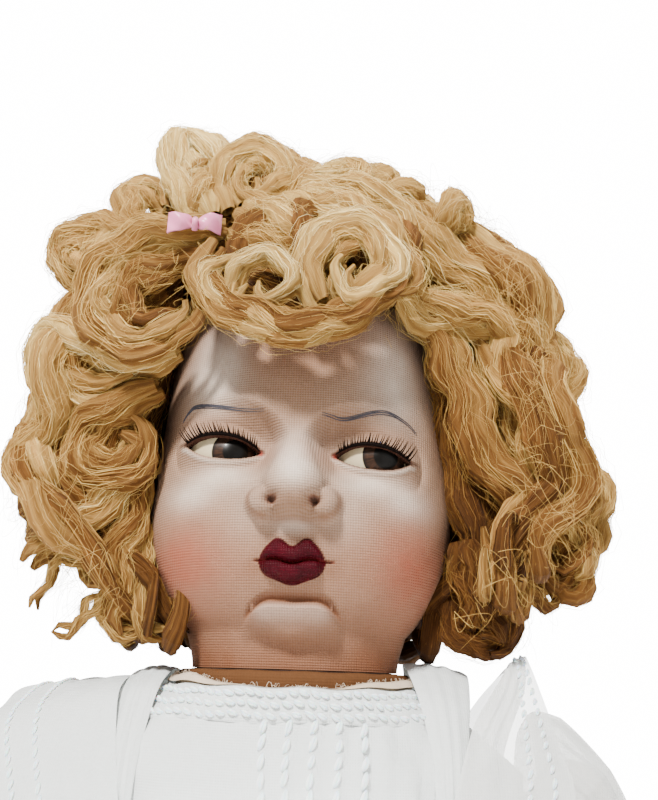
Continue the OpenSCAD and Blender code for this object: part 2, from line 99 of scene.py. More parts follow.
class Soup:
    """Collects grids and tubes, and makes one mesh of them, with the attributes that materials read."""

    def __init__(self):
        self.v, self.f, self.a, self.n = [], [], [], 0

    def grid(self, pts, close_u=False, attr=None):
        """pts has shape (nv, nu, 3). attr has shape (nv, nu, k)."""
        nv, nu = pts.shape[:2]
        idx = np.arange(nv * nu).reshape(nv, nu) + self.n
        if close_u:
            idx = np.hstack([idx, idx[:, :1]])
        q = np.stack([idx[:-1, :-1], idx[:-1, 1:], idx[1:, 1:], idx[1:, :-1]], -1).reshape(-1, 4)
        self.v.append(pts.reshape(-1, 3))
        self.f.append(q)
        self.a.append(np.zeros((nv * nu, 3)) if attr is None else np.asarray(attr, float).reshape(-1, 3))
        self.n += nv * nu

    def bundle(self, pts, attr):
        """Many closed tubes at once. pts has shape (tubes, rings, corners, 3), attr has shape (tubes, rings, 3)."""
        k, m, c = pts.shape[:3]
        idx = np.arange(k * m * c).reshape(k, m, c) + self.n
        nxt = np.roll(idx, -1, axis=2)
        self.f.append(np.stack([idx[:, :-1], nxt[:, :-1], nxt[:, 1:], idx[:, 1:]], -1).reshape(-1, 4))
        self.f += [idx[:, 0, ::-1], idx[:, -1]]
        self.v.append(pts.reshape(-1, 3))
        self.a.append(np.repeat(np.asarray(attr, float).reshape(-1, 3), c, axis=0))
        self.n += k * m * c

    def tube(self, path, radius, sides=8, attr=(0.0, 0.0, 0.0)):
        """One closed tube along a path in mm."""
        t, a, b = frames(path)
        th = np.linspace(0, 2 * math.pi, sides, endpoint=False)[:, None]
        r = np.broadcast_to(radius, (len(path),))[:, None, None]
        pts = path[:, None, :] + r * (a[:, None, :] * np.cos(th) + b[:, None, :] * np.sin(th))
        self.bundle(pts[None], np.broadcast_to(attr, (1, len(path), 3)))

    def slab(self, front, back, look=None, inner=(0.0, 0.0, 0.0)):
        """A closed piece of sheet with some thickness, between two grids of points."""
        def outline(g):
            return np.concatenate([g[0], g[1:, -1], g[-1, -2::-1], g[-2:0:-1, 0]])

        rim = np.stack([outline(back), outline(front)])
        self.grid(front, attr=look)
        self.grid(back[::-1], attr=np.broadcast_to(inner, back.shape))
        self.grid(rim, close_u=True, attr=np.broadcast_to(inner, rim.shape))

    def split(self, most):
        """The same locks in several smaller collections, each with at most that many triangles."""
        parts, part, used, start, k = [], Soup(), 0, 0, 0
        for v, a in zip(self.v, self.a):
            mine = []
            while k < len(self.f) and self.f[k].min() < start + len(v):
                mine.append(self.f[k] - start)
                k += 1
            tris = sum(len(f) * (f.shape[1] - 2) for f in mine)
            if used and used + tris > most:
                parts.append(part)
                part, used = Soup(), 0
            part.f += [f + part.n for f in mine]
            part.v.append(v)
            part.a.append(a)
            part.n += len(v)
            used += tris
            start += len(v)
        return parts + [part]

    def build(self, name):
        me = bpy.data.meshes.new(name)
        v = np.vstack(self.v) * MM
        loops = np.concatenate([f.ravel() for f in self.f]).astype(np.int32)
        total = np.concatenate([np.full(len(f), f.shape[1], np.int32) for f in self.f])
        me.vertices.add(len(v))
        me.vertices.foreach_set("co", v.astype(np.float32).ravel())
        me.loops.add(len(loops))
        me.loops.foreach_set("vertex_index", loops)
        me.polygons.add(len(total))
        me.polygons.foreach_set("loop_start", np.cumsum(total) - total)
        me.polygons.foreach_set("loop_total", total)
        me.update(calc_edges=True)
        me.validate()
        me.polygons.foreach_set("use_smooth", np.ones(len(me.polygons), bool))
        at = me.attributes.new("look", "FLOAT_VECTOR", "POINT")
        at.data.foreach_set("vector", np.vstack(self.a).astype(np.float32).ravel())
        ob = bpy.data.objects.new(name, me)
        bpy.context.collection.objects.link(ob)
        return ob


def cut_faces(ob, inside):
    """Deletes the faces whose middle, in mm, is inside."""
    bm = bmesh.new()
    bm.from_mesh(ob.data)
    gone = [f for f in bm.faces if inside(f.calc_center_median() / MM)]
    bmesh.ops.delete(bm, geom=gone, context="FACES")
    bm.to_mesh(ob.data)
    bm.free()


def add_paint(ob, values):
    """The second attribute of the skin. values covers the first points of the mesh, and the rest stay unpainted."""
    full = np.zeros((len(ob.data.vertices), 3), np.float32)
    full[:values.size // 3] = values.reshape(-1, 3)
    at = ob.data.attributes.new("paint", "FLOAT_VECTOR", "POINT")
    at.data.foreach_set("vector", full.ravel())


def place(ob, body, slot, material, *replaced):
    ob.data.materials.clear()
    ob.data.materials.append(material)
    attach(ob, body)
    if replaced:
        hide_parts(*replaced)
    return ob


# ------------------------------------------------------------------ material helpers

class Nodes:
    def __init__(self, name, color, rough=0.6, **sockets):
        self.m = bpy.data.materials.new(name)
        self.m.use_nodes = True
        self.t = self.m.node_tree
        self.b = self.t.nodes["Principled BSDF"]
        self.set(self.b, "Base Color", (*color, 1))
        self.set(self.b, "Roughness", rough)
        for k, v in sockets.items():
            self.set(self.b, k.replace("_", " "), v)
        self.pos = self.t.nodes.new("ShaderNodeTexCoord").outputs["Object"]

    def set(self, node, socket, value):
        if isinstance(value, bpy.types.NodeSocket):
            self.t.links.new(value, node.inputs[socket])
        else:
            node.inputs[socket].default_value = value

    def new(self, kind, **sockets):
        n = self.t.nodes.new("ShaderNode" + kind)
        for k, v in sockets.items():
            self.set(n, k.replace("_", " "), v)
        return n.outputs[0]

    def math(self, op, a, b=0.0):
        n = self.t.nodes.new("ShaderNodeMath")
        n.operation = op
        for i, v in enumerate((a, b)):
            self.set(n, i, v)
        return n.outputs[0]

    def noise(self, scale, detail=3.0, vec=None, rough=0.55, dist=0.0):
        return self.new("TexNoise", Vector=vec or self.pos, Scale=scale, Detail=detail, Roughness=rough,
                        Distortion=dist)

    def stretch(self, sx, sy, sz, vec=None):
        return self.new("Mapping", Vector=vec or self.pos, Scale=(sx, sy, sz))

    def ramp(self, fac, stops):
        n = self.t.nodes.new("ShaderNodeValToRGB")
        e = n.color_ramp.elements
        while len(e) < len(stops):
            e.new(0.5)
        for el, (p, c) in zip(e, stops):
            el.position = p
            el.color = (*c, 1) if np.ndim(c) else (c, c, c, 1)
        self.set(n, "Fac", fac)
        return n.outputs["Color"]

    def mix(self, fac, a, b):
        n = self.t.nodes.new("ShaderNodeMix")
        n.data_type = "RGBA"
        self.set(n, 0, fac)
        for i, v in ((6, a), (7, b)):
            self.set(n, i, v if isinstance(v, bpy.types.NodeSocket) else (*v, 1))
        return n.outputs[2]

    def attr(self, name="look"):
        n = self.t.nodes.new("ShaderNodeAttribute")
        n.attribute_name = name
        s = self.t.nodes.new("ShaderNodeSeparateXYZ")
        self.t.links.new(n.outputs["Vector"], s.inputs[0])
        return n.outputs["Vector"], s.outputs[0], s.outputs[1], s.outputs[2]

    def bump(self, height, distance, strength=1.0, normal=None):
        n = self.t.nodes.new("ShaderNodeBump")
        self.set(n, "Height", height)
        n.inputs["Distance"].default_value = distance
        n.inputs["Strength"].default_value = strength
        if normal is not None:
            self.set(n, "Normal", normal)
        return n.outputs[0]

    def color(self, socket):
        self.set(self.b, "Base Color", socket)

    def weave(self, pitch, rough=0.35):
        """Height of a plain weave with threads pitch metres apart, with slubs."""
        k = 2 * math.pi / pitch
        s = self.t.nodes.new("ShaderNodeSeparateXYZ")
        slub = self.noise(260, 2)
        self.t.links.new(self.pos, s.inputs[0])
        wob = self.math("MULTIPLY", slub, 2.6)
        across = self.math("ADD", self.math("MULTIPLY", s.outputs[0], k), wob)
        down = self.math("ADD", self.math("MULTIPLY", s.outputs[2], k), wob)
        a = self.math("ABSOLUTE", self.math("SINE", self.math("MULTIPLY", across, 0.5)))
        b = self.math("ABSOLUTE", self.math("SINE", self.math("MULTIPLY", down, 0.5)))
        h = self.math("MULTIPLY", self.math("ADD", a, b), 0.5)
        return self.math("ADD", h, self.math("MULTIPLY", self.noise(900, 2), rough))


# ------------------------------------------------------------------ materials

def skin_material():
    """Painted muslin. look is (blush, lips, soil and painted shade) and paint is (painted highlight, dark paint and
    painted shade, red).
    """
    m = Nodes("painted_muslin", (0.8, 0.66, 0.55), 0.62)
    _, blush, lips, soil_and_shade = m.attr("look")
    _, highlight_paint, dark, red = m.attr("paint")
    h = m.weave(0.00078)
    c = m.ramp(m.noise(48, 4), [(0.28, (0.135, 0.060, 0.025)), (0.66, (0.220, 0.112, 0.056))])
    # painted highlights, in a paler cream
    c = m.mix(highlight_paint, c, m.ramp(m.noise(90, 4), [(0.3, (0.50, 0.405, 0.33)), (0.7, (0.66, 0.58, 0.50))]))
    c = m.mix(m.math("MULTIPLY", m.noise(700, 3), 0.36), c, (0.30, 0.185, 0.12))
    c = m.mix(0.15, c, m.ramp(h, [(0.45, (0.30, 0.19, 0.12)), (1.0, (0.74, 0.64, 0.55))]))
    # soil and painted shade, in a dark brown: soil near the hair and the neck, painted shade in the creases and under
    # the fringe
    c = m.mix(m.math("MULTIPLY", soil_and_shade, m.math("ADD", 0.72, m.math("MULTIPLY", m.noise(120, 4), 0.4))), c,
              (0.150, 0.064, 0.030))
    c = m.mix(m.math("MULTIPLY", blush, m.math("ADD", 0.55, m.math("MULTIPLY", m.noise(180, 4), 0.7))), c,
              (0.29, 0.088, 0.052))
    # dark paint for the eye liners, and painted shade in the nostrils, along the lip slit and inside the eye openings
    c = m.mix(dark, c, (0.040, 0.015, 0.010))
    lip = m.ramp(m.noise(240, 4), [(0.3, (0.022, 0.0002, 0.002)), (0.75, (0.052, 0.0004, 0.005))])
    c = m.mix(lips, c, lip)
    c = m.mix(red, c, (0.26, 0.03, 0.02))
    m.color(c)
    m.set(m.b, "Roughness", m.math("SUBTRACT", 0.64, m.math("MULTIPLY", lips, 0.22)))
    m.set(m.b, "Specular IOR Level", 0.08)
    n = m.bump(h, 0.00030, 0.8)
    m.set(m.b, "Normal", m.bump(m.noise(130, 4), 0.0006, 0.35, n))
    return m.m


def hair_material():
    """look is (across, along, tone): every hair has its own place across, so its own streak."""
    m = Nodes("honey_mohair", (0.6, 0.4, 0.2), 0.62)
    vec, _, _, tone = m.attr("look")
    streak = m.noise(1.0, 3, m.stretch(5.0, 1.1, 0.5, vec), 0.6)
    fine = m.noise(1.0, 4, m.stretch(60.0, 2.2, 1.0, vec), 0.6)
    level = m.math("ADD", tone, m.math("MULTIPLY", m.math("SUBTRACT", streak, 0.5), 0.36))
    level = m.math("ADD", level, m.math("MULTIPLY", m.math("SUBTRACT", fine, 0.5), 0.42))
    m.color(m.ramp(level, [(0.04, (0.045, 0.015, 0.003)), (0.28, (0.17, 0.070, 0.015)),
                           (0.52, (0.42, 0.232, 0.062)), (0.76, (0.70, 0.475, 0.150)), (1.0, (0.95, 0.80, 0.40))]))
    m.set(m.b, "Specular IOR Level", 0.12)
    m.set(m.b, "Normal", m.bump(fine, 0.0009, 0.9))
    return m.m


def cloth_material(name, color, pitch, alpha=1.0, crease=0.5, rough=0.85, sheen=0.25):
    m = Nodes(name, color, rough)
    h = m.weave(pitch, 0.6)
    c = m.mix(m.math("MULTIPLY", m.noise(30, 4), 0.35), color, tuple(x * 0.86 for x in color))
    c = m.mix(m.math("MULTIPLY", m.noise(900, 3), 0.5), c, tuple(x * 0.72 for x in color))
    m.color(c)
    m.set(m.b, "Sheen Weight", sheen)
    m.set(m.b, "Specular IOR Level", sheen)
    m.set(m.b, "Alpha", alpha)
    n = m.bump(h, 0.00022, 0.6)
    m.set(m.b, "Normal", m.bump(m.noise(60, 5, m.stretch(1.0, 1.0, 0.35), dist=0.8), 0.0016, crease, n))
    return m.m


def wood_material(name, light, dark, axis=2):
    m = Nodes(name, light, 0.55)
    s = [70.0, 70.0, 70.0]
    s[axis] = 7.0
    g = m.noise(1.0, 5, m.stretch(*s), 0.62, 0.6)
    m.color(m.ramp(g, [(0.32, dark), (0.66, light)]))
    m.set(m.b, "Normal", m.bump(g, 0.0004, 0.5))
    return m.m


def metal_material(name, color, rough=0.3):
    m = Nodes(name, color, rough, Metallic=1.0)
    g = m.noise(900, 2, m.stretch(1, 1, 0.08))
    m.color(m.mix(m.math("MULTIPLY", m.noise(120, 4), 0.5), color, tuple(x * 0.6 for x in color)))
    m.set(m.b, "Roughness", m.math("ADD", rough - 0.08, m.math("MULTIPLY", g, 0.22)))
    return m.m


def plain_material(name, color, rough, scale=90, distance=0.0003, deep=0.82, **kw):
    m = Nodes(name, color, rough, **kw)
    g = m.noise(scale, 5)
    m.color(m.mix(g, color, tuple(x * deep for x in color)))
    m.set(m.b, "Normal", m.bump(m.noise(scale * 5, 3), distance, 0.5))
    return m.m


SKIN = skin_material()
HAIR = hair_material()
VOILE = cloth_material("white_voile", (0.735, 0.775, 0.765), 0.00075, crease=0.8)
SHEER = cloth_material("sheer_voile", (0.77, 0.79, 0.77), 0.00075, alpha=0.82, crease=0.9)
STITCH = plain_material("white_stitches", (1.0, 1.0, 0.99), 0.7, 500, 0.0002, 0.97, Sheen_Weight=0.6,
                        Subsurface_Weight=0.5, Subsurface_Scale=0.002)
STOCKING = cloth_material("knit_stocking", (0.90, 0.89, 0.86), 0.0011, crease=0.25)
# the neck stub's tan cotton is made a deep brown, darker than tan, as painted shade under the head
BODY_CLOTH = cloth_material("tan_cotton_shaded", (0.095, 0.043, 0.019), 0.0009, sheen=0.0)
TAPE = cloth_material("cream_tape", (0.62, 0.50, 0.37), 0.0008, sheen=0.1)
LIMB = plain_material("painted_composition", (0.80, 0.60, 0.46), 0.46, 40, 0.0002, 0.86, Coat_Weight=0.25,
                      Coat_Roughness=0.35)
CARD = plain_material("varnished_card", (0.62, 0.46, 0.30), 0.6, 60, 0.0005, 0.7)
WOOD = wood_material("planed_wood", (0.66, 0.47, 0.28), (0.46, 0.29, 0.15), 0)
STICK_WOOD = wood_material("stick_wood", (0.70, 0.52, 0.32), (0.50, 0.33, 0.18))
GRIP_WOOD = wood_material("oiled_wood", (0.33, 0.17, 0.08), (0.16, 0.075, 0.03))
STEEL = metal_material("drawn_steel", (0.56, 0.56, 0.57), 0.34)
BRASS = metal_material("dull_brass", (0.60, 0.44, 0.20), 0.38)
FELT = plain_material("brown_felt", (0.045, 0.020, 0.012), 0.95, 400, 0.0006, 0.7)
SATIN = plain_material("pink_satin", (0.72, 0.20, 0.36), 0.34, 50, 0.0002, 0.75, Sheen_Weight=0.3)
LEATHER = plain_material("kid_leather", (0.80, 0.77, 0.71), 0.5, 120, 0.0004, 0.86, Coat_Weight=0.15)
PEARL = plain_material("pearl_button", (0.88, 0.85, 0.78), 0.2, 60, 0.0001, 0.9, Coat_Weight=0.6)
NET = cloth_material("wig_net", (0.30, 0.17, 0.07), 0.0016)
LASH = plain_material("lash_hair", (0.004, 0.002, 0.0015), 0.8, 300, 0.0001, 0.6, Specular_IOR_Level=0.05)
BROW = plain_material("brow_pencil", (0.045, 0.042, 0.055), 0.7, 900, 0.0001, 0.6)


# ------------------------------------------------------------------ face

# the plain turned form under the face: a neck, a ball at the cheeks, a cone and a ball for the skull
NECK_R, NECK_TOP = 34.0, 11.2
CHEEK_R, CHEEK_Z, CHEEK_TOP = 52.0, 48.0, 52.5
SKULL_R, SKULL_Z, SKULL_START = 48.0, 94.0, 98.2


def head_radius(z):
    """Radius of the turned head under the face at a height above the neck's edge, in mm."""
    z = np.asarray(z, float)
    neck = NECK_R + 2.8 * np.clip(z / NECK_TOP, 0, 1) ** 1.5
    cheeks = np.sqrt(np.maximum(CHEEK_R ** 2 - (z - CHEEK_Z) ** 2, 0.0))
    cone = 51.8 + (47.8 - 51.8) * (z - CHEEK_TOP) / (SKULL_START - CHEEK_TOP)
    skull = np.sqrt(np.maximum(SKULL_R ** 2 - (z - SKULL_Z) ** 2, 0.0))
    return np.where(z < NECK_TOP, neck, np.where(z < CHEEK_TOP, cheeks, np.where(z < SKULL_START, cone, skull)))


EYE_X, EYE_Y, EYE_Z = 23.5, -29.0, 64.3
EYE_R = 13.0
LID_HALF = 12.0
TILT = {-1: (0.085, 1.1), 1: (-0.065, -1.0)}      # how each eye's opening slopes and sits, the right side first
LIP_HALF = 9.9


def lid_top(u):
    """Height of the upper lid's edge over the middle of the eye, u running from the nose (-1) to the temple (1)."""
    return 3.7 * (1 - np.abs(u) ** 2.3) * (1 - 0.10 * u)


def softly(a, b, k=0.45):
    """The nearer of two surfaces, with a soft crease between them."""
    return -k * np.logaddexp(-a / k, -b / k)


def ball(x, z, cx, cy, cz, r):
    """y of the front of a ball, falling back steeply outside it."""
    d = np.hypot(x - cx, z - cz)
    return cy - np.sqrt(np.maximum(r * r - d * d, 0.0)) + 2.5 * np.maximum(d - r, 0.0)


def eye_field(x, z):
    """For each eye, the right one first: signed room inside its outline (mm, positive inside), and the offsets from
    its middle."""
    out = []
    for s in (-1, 1):
        dx = (x - s * EYE_X) * s                      # positive towards the temple
        slope, rise = TILT[s]
        dz = z - EYE_Z - rise - slope * dx
        u = np.clip(dx / LID_HALF, -1, 1)
        top = lid_top(u)
        low = -3.7 * (1 - np.abs(u) ** 2.4) * (1 + 0.10 * u)
        room = np.minimum(top - dz, dz - low)
        room = np.where(np.abs(dx) < LID_HALF, room, -np.hypot(np.abs(dx) - LID_HALF, dz))
        out.append((room, dx, dz))
    return out


def front_surface(x, z):
    """y of the face's front surface, and the paint masks, over x and z in mm."""
    r = head_radius(z)
    y = -np.sqrt(np.maximum(r ** 2 - np.minimum(np.abs(x), r) ** 2, 0.0))
    eyes = eye_field(x, z)
    paint = {"eyes": eyes}
    # cheeks, and the hollow round the mouth
    y = y - 2.4 * (bump(x, -31, 15) + bump(x, 31, 15)) * bump(z, 36, 16)
    y = y + 1.6 * bump(x, 0, 19) * bump(z, 33, 11)
    # brow ridge and temples
    y = y - 1.3 * (bump(x, -22, 13) + bump(x, 22, 13)) * bump(z, 78, 6)
    y = y + 1.0 * bump(x, 0, 8) * bump(z, 74, 7)
    # eye beds
    for room, dx, dz in eyes:
        lid = EYE_Y + 1.2 - np.sqrt(np.maximum(16.2 ** 2 - dx ** 2 - dz ** 2, 4.0))
        w = 1 - smooth(0.62, 1.55, np.hypot(dx / 15.0, dz / np.where(dz > 0, 11.0, 8.0)))
        y = y * (1 - w) + lid * w
        rim = bump(room, -1.1, 1.0) * w
        y = y - 0.75 * rim
        crease = bump(dz, 8.2 - 0.022 * dx ** 2, 1.0) * bump(dx, 0, 12)
        y = y + 0.7 * crease
        y = y + 9.0 * smooth(-0.1, 1.1, room)
    # nose: a ridge that widens into the bulb, the two wings, and the strip between the nostrils
    for t in np.linspace(0, 1, 7):
        y = softly(y, ball(x, z, 0, -46.9 - 8.3 * t, 66.5 - 15.0 * t, 3.8 + 4.9 * t), 0.9)
    for side in (-1, 1):
        y = softly(y, ball(x, z, side * 8.8, -54.2, 46.8, 4.5), 0.35)
    y = softly(y, ball(x, z, 0, -55.8, 46.4, 4.1), 0.5)
    nost = bump(x, -6.2, 2.0) * bump(z, 46.8, 1.6) + bump(x, 6.2, 2.0) * bump(z, 46.8, 1.6)
    y = y + 3.4 * nost
    paint["nost"] = smooth(0.30, 0.85, nost)
    # the crease round the nose wings and a line under the nose: a mask for painted shade
    wing = np.maximum(bump(np.hypot(x + 8.7, z - 47.3), 4.9, 0.8), bump(np.hypot(x - 8.7, z - 47.3), 4.9, 0.8))
    paint["wing"] = wing * smooth(52, 48, z) * smooth(6.5, 9.0, np.abs(x)) \
        + 0.8 * bump(z, 41.9, 0.8) * bump(x, 0, 6)
    # philtrum
    y = y + 0.6 * bump(x, 0, 1.8) * bump(z, 40.5, 2.0)
    # lips
    t = np.clip(np.abs(x) / LIP_HALF, 0, 1)
    slit = 30.3 - 0.8 * bump(x, 0, 3.2) + 0.35 * bump(np.abs(x), 5.4, 2.6)
    top = slit + 5.6 * (1 - t ** 4.0) ** 0.8 + 1.0 * bump(np.abs(x), 4.2, 2.2) * (1 - t ** 4) \
        - 0.6 * bump(x, 0, 1.6)
    low = slit - 6.1 * (1 - t ** 3.0) ** 0.50
    up_in = np.clip((z - slit) / np.maximum(top - slit, 0.05), -1, 2)
    lo_in = np.clip((slit - z) / np.maximum(slit - low, 0.05), -1, 2)

    def swell(q):
        dome = np.sqrt(np.clip(1 - (2 * np.clip(q, 0, 1) - 0.88) ** 2, 0, 1))
        return dome * smooth(0, 0.04, q) * (1 - smooth(0.9, 1.12, q))

    edge = smooth(1.02, 0.72, np.abs(x) / LIP_HALF)
    y = y - 2.9 * swell(up_in) * edge - 3.3 * swell(lo_in) * edge - 1.2 * bump(x, 0, 9) * bump(z, 31, 7)
    cut = bump(z, slit, 0.42) * smooth(12.4, 10.6, np.abs(x - 0.6))
    y = y + 1.5 * cut
    lips = np.maximum(smooth(top + 0.22, top - 0.22, z) * smooth(slit - 0.3, slit + 0.1, z),
                      smooth(low - 0.22, low + 0.22, z) * smooth(slit + 0.3, slit - 0.1, z)) * (np.abs(x) < LIP_HALF)
    paint["lips"] = np.clip(lips, 0, 1)
    paint["slit"] = bump(z, slit, 0.34) * smooth(12.6, 11.4, np.abs(x - 0.7))
    # chin pad below its crease
    arch = 19.5 - 6.2 * (np.maximum(np.abs(x - 0.4) - 6.5, 0) / 8.5) ** 2 - 0.25 * bump(x, 0.4, 3)
    below = arch - z
    pad = smooth(-0.15, 2.2, below) \
        * smooth(1.05, 0.35, ((x - 0.4) / 15.8) ** 2 + (np.maximum(below - 2, 0) / 11.0) ** 2)
    y = y - 4.9 * pad + 1.7 * bump(below, -0.6, 1.4) * smooth(15.5, 11, np.abs(x - 0.4))
    paint["pad"] = pad
    # the line of the chin's crease: a mask for painted shade along it
    paint["crease"] = bump(below, -0.3, 0.75) * smooth(15.6, 13.0, np.abs(x - 0.4))
    return y, paint


def face_paint(x, z, p):
    """look = (blush, lips, soil and painted shade), paint = (painted highlight, dark paint and painted shade, red)."""
    def spot(cx, cz, sx, sz):
        return np.exp(-((x - cx) / sx) ** 2 - ((z - cz) / sz) ** 2)

    blush = 0.85 * spot(-34, 30, 13, 12) + 0.85 * spot(36, 31, 12, 14) + 0.18 * spot(0, 62, 12, 5) \
        + 0.15 * smooth(46, 30, z)
    # part soil and part painted shade: the hairline, temples and neck's edge have both; the rest is painted shade,
    # under the fringe, between the brows, in the creases by the nose wings and above the chin, under the nose and the
    # lower lip, at the mouth corners, and growing towards the bottom of the face
    soil_and_shade = 0.38 * smooth(84, 104, z) + 0.34 * smooth(40, 49, np.abs(x)) * smooth(45, 80, z) \
        + 0.42 * smooth(11, 0, z)
    soil_and_shade = soil_and_shade + 0.75 * p["crease"] + 0.55 * p["wing"] + 0.26 * spot(0, 46.5, 9, 4.5) + 0.14 * spot(0, 24, 26, 7)
    soil_and_shade = soil_and_shade + 0.35 * (spot(-11.5, 28.5, 3.0, 2.6) + spot(11.5, 28.5, 3.0, 2.6)) + 0.25 * spot(0, 81, 7, 8)
    soil_and_shade = soil_and_shade + 0.20 * smooth(22, 12, z) * smooth(14, 22, np.abs(x)) + 0.42 * spot(0, 93, 26, 9) \
        + 0.32 * smooth(24, 8, z)
    soil_and_shade = soil_and_shade + 0.22 * spot(0, 46, 24, 8) + 0.15 * smooth(48, 30, z)
    # painted highlights: down the nose, on the chin pad's top, under the eyes, on the cheeks, on the upper lip's
    # middle, beside the nose wings, and two lit patches high on the forehead
    highlight_paint = 0.75 * spot(0, 59, 5.5, 7) + 0.5 * spot(0, 53, 7, 4.5) \
        + 0.5 * p["pad"] * bump(z, 16, 3.5) * smooth(15, 8, np.abs(x))
    highlight_paint = highlight_paint + 0.75 * (spot(-21, 55.5, 9, 4.5) + spot(22, 54.5, 10, 4.5) + spot(-32, 50, 8, 5) + spot(34, 49, 7, 5))
    highlight_paint = highlight_paint + 0.55 * spot(0, 40, 5.5, 2.2) + 0.85 * spot(30, 94, 9, 18) + 1.0 * spot(-27, 92, 9, 15) \
        + 0.22 * spot(0, 66, 18, 6)
    highlight_paint = highlight_paint + 0.25 * spot(-14, 44, 7, 8) + 0.25 * spot(16, 44, 7, 8)
    # painted shade in the nostril pits and in the slit between the lips
    dark = 0.85 * p["nost"] + 0.75 * p["slit"]
    red = 0.35 * p["slit"] + 0.45 * p["nost"] * (1 - p["nost"])
    for s, (room, dx, dz) in zip((-1, 1), p["eyes"]):
        liner = smooth(-1.7, -0.6, room) * smooth(-1.2, 0.8, dz)
        lower = smooth(-0.75, -0.25, room) * 0.55 * (s > 0) + smooth(-0.6, -0.2, room) * 0.25
        wing = bump(dz, 0.4 + 0.10 * (dx - 12), 0.7) * smooth(10.0, 12.0, dx) * smooth(16, 13.5, dx)
        # the liner, the lower lid line and the wing at the outer corner are paint; the dark inside the eye opening is
        # painted shade
        dark = np.maximum.reduce([dark, 0.97 * liner, lower, 0.7 * wing, smooth(0.1, 0.7, room)])
        # a painted highlight along the lower lid
        highlight_paint = np.maximum(highlight_paint, 0.6 * bump(room, -1.4, 0.7) * smooth(0.3, -1.5, dz))
        red = np.maximum(red, 0.9 * np.exp(-((dx + 11.8) / 0.9) ** 2 - ((dz + 0.3) / 0.8) ** 2))
        # painted shade in the eye socket above the lid and beside the nose
        soil_and_shade = soil_and_shade + 0.62 * np.exp(-(dx / 14) ** 2 - ((dz - 8) / 4.2) ** 2) * smooth(2.5, 4.5, dz)
        soil_and_shade = soil_and_shade + 0.30 * np.exp(-((dx + 14.5) / 3.5) ** 2 - ((dz - 1) / 7) ** 2)
    blush, soil_and_shade, highlight_paint, dark, red = (np.clip(a, 0, 1) for a in (blush, soil_and_shade, highlight_paint, dark, red))
    return np.stack([blush, p["lips"], soil_and_shade * (1 - 0.45 * highlight_paint)], -1), np.stack([highlight_paint, dark, red], -1)


def face_grid(phi, zz):
    """Points and paint over angles (0 is straight ahead, in radians) and heights."""
    P, Z = np.meshgrid(phi, zz)
    r = head_radius(Z)
    x = r * np.sin(P)
    base_y = -r * np.cos(P)
    sculpt, p = front_surface(x, Z)
    flat = -np.sqrt(np.maximum(r ** 2 - np.minimum(np.abs(x), r) ** 2, 0.0))
    d = (sculpt - flat) * smooth(1.45, 0.95, np.abs(P))
    pts = np.stack([x, base_y + d, Z + NECK], -1)
    look, paint = face_paint(x, Z, p)
    fade = smooth(1.55, 1.15, np.abs(P))[..., None]
    # the back of the head, under the wig, gets a middling share of the darker soil-and-shade brown
    back = np.array([0.0, 0.0, 0.42])
    look = look * fade + back * (1 - fade)
    return pts, look, paint * fade


def spaced(a, b, coarse, fine_spans=()):
    """Values from a to b with a small step inside the given spans."""
    out, x = [a], a
    while x < b:
        step = coarse
        for lo, hi, f in fine_spans:
            if lo <= x < hi:
                step = min(step, f)
        x += step
        out.append(min(x, b))
    return np.array(out)


JAW_HALF = 11.9
JAW_LOW = 19.2
JAW_TOP = 30.1
JAW_AXLE = (8.0, 38.0)       # y, and height above the neck's edge
PLATE_THICKNESS = 3.0


def make_head():
    step = 0.0115 * 0.85
    front = 1.5                                   # the finely divided part, to this angle on either side
    phi = np.concatenate([np.linspace(-math.pi, -front, 26)[:-1], spaced(-front, front, step),
                          np.linspace(front, math.pi, 26)[1:-1]])
    heights = spaced(0.0, 118.0, 1.1, [(11, 53, 0.42), (53, 80, 0.45)])
    top = SKULL_Z + SKULL_R * np.sin(np.linspace(math.asin(24 / SKULL_R), math.pi / 2, 22))[1:-1]
    pts, look, paint = face_grid(phi, np.concatenate([heights, top, [SKULL_Z + SKULL_R - 0.001]]))
    s = Soup()
    s.grid(pts, close_u=True, attr=look)
    # the neck's lower edge turns in, and a band of its inside shows
    rim = pts[0]
    inner = rim * [30.6 / NECK_R, 30.6 / NECK_R, 1]
    band = np.stack([inner + [0, 0, 9], inner, rim])
    # the turned-in band is painted dark brown, as shade inside the neck
    s.grid(band, close_u=True, attr=np.broadcast_to([0, 0, 0.9], band.shape))
    ob = s.build("face_and_head")
    add_paint(ob, paint)
    # the part of the surface that the jaw plate takes over
    cut_faces(ob, lambda c: abs(c.x) < JAW_HALF and JAW_LOW < c.z - NECK < JAW_TOP and c.y < 0)
    return place(ob, "head", "skin_cloth", SKIN, "face_mask", "head_back")


def make_jaw():
    x = np.linspace(-JAW_HALF - 0.35, JAW_HALF + 0.35, 70)
    z = np.linspace(JAW_LOW - 3.2, JAW_TOP + 0.3, 90)
    X, Z = np.meshgrid(x, z)
    y, p = front_surface(X, np.maximum(Z, JAW_LOW))
    look, paint = face_paint(X, np.maximum(Z, JAW_LOW), p)
    # below its visible part, the plate runs on inside the head along an arc about the axle
    reach = np.hypot(y - JAW_AXLE[0], JAW_LOW - JAW_AXLE[1])
    inside = JAW_AXLE[0] - np.sqrt(reach ** 2 - (Z - JAW_AXLE[1]) ** 2)
    y = np.where(Z < JAW_LOW, inside + 0.5 * smooth(JAW_LOW, JAW_LOW - 1.0, Z), y - 0.03)
    pts = np.stack([X, y, Z + NECK], -1)
    s = Soup()
    # the plate's back and edges are painted dark brown, as shade in the slot round it
    s.slab(pts, pts + [0, PLATE_THICKNESS, 0], look, (0, 0, 0.8))
    ob = s.build("lower_lip_plate")
    add_paint(ob, paint)
    return place(ob, "lower_jaw", "skin_cloth", SKIN, "jaw_plate", "lower_lip")


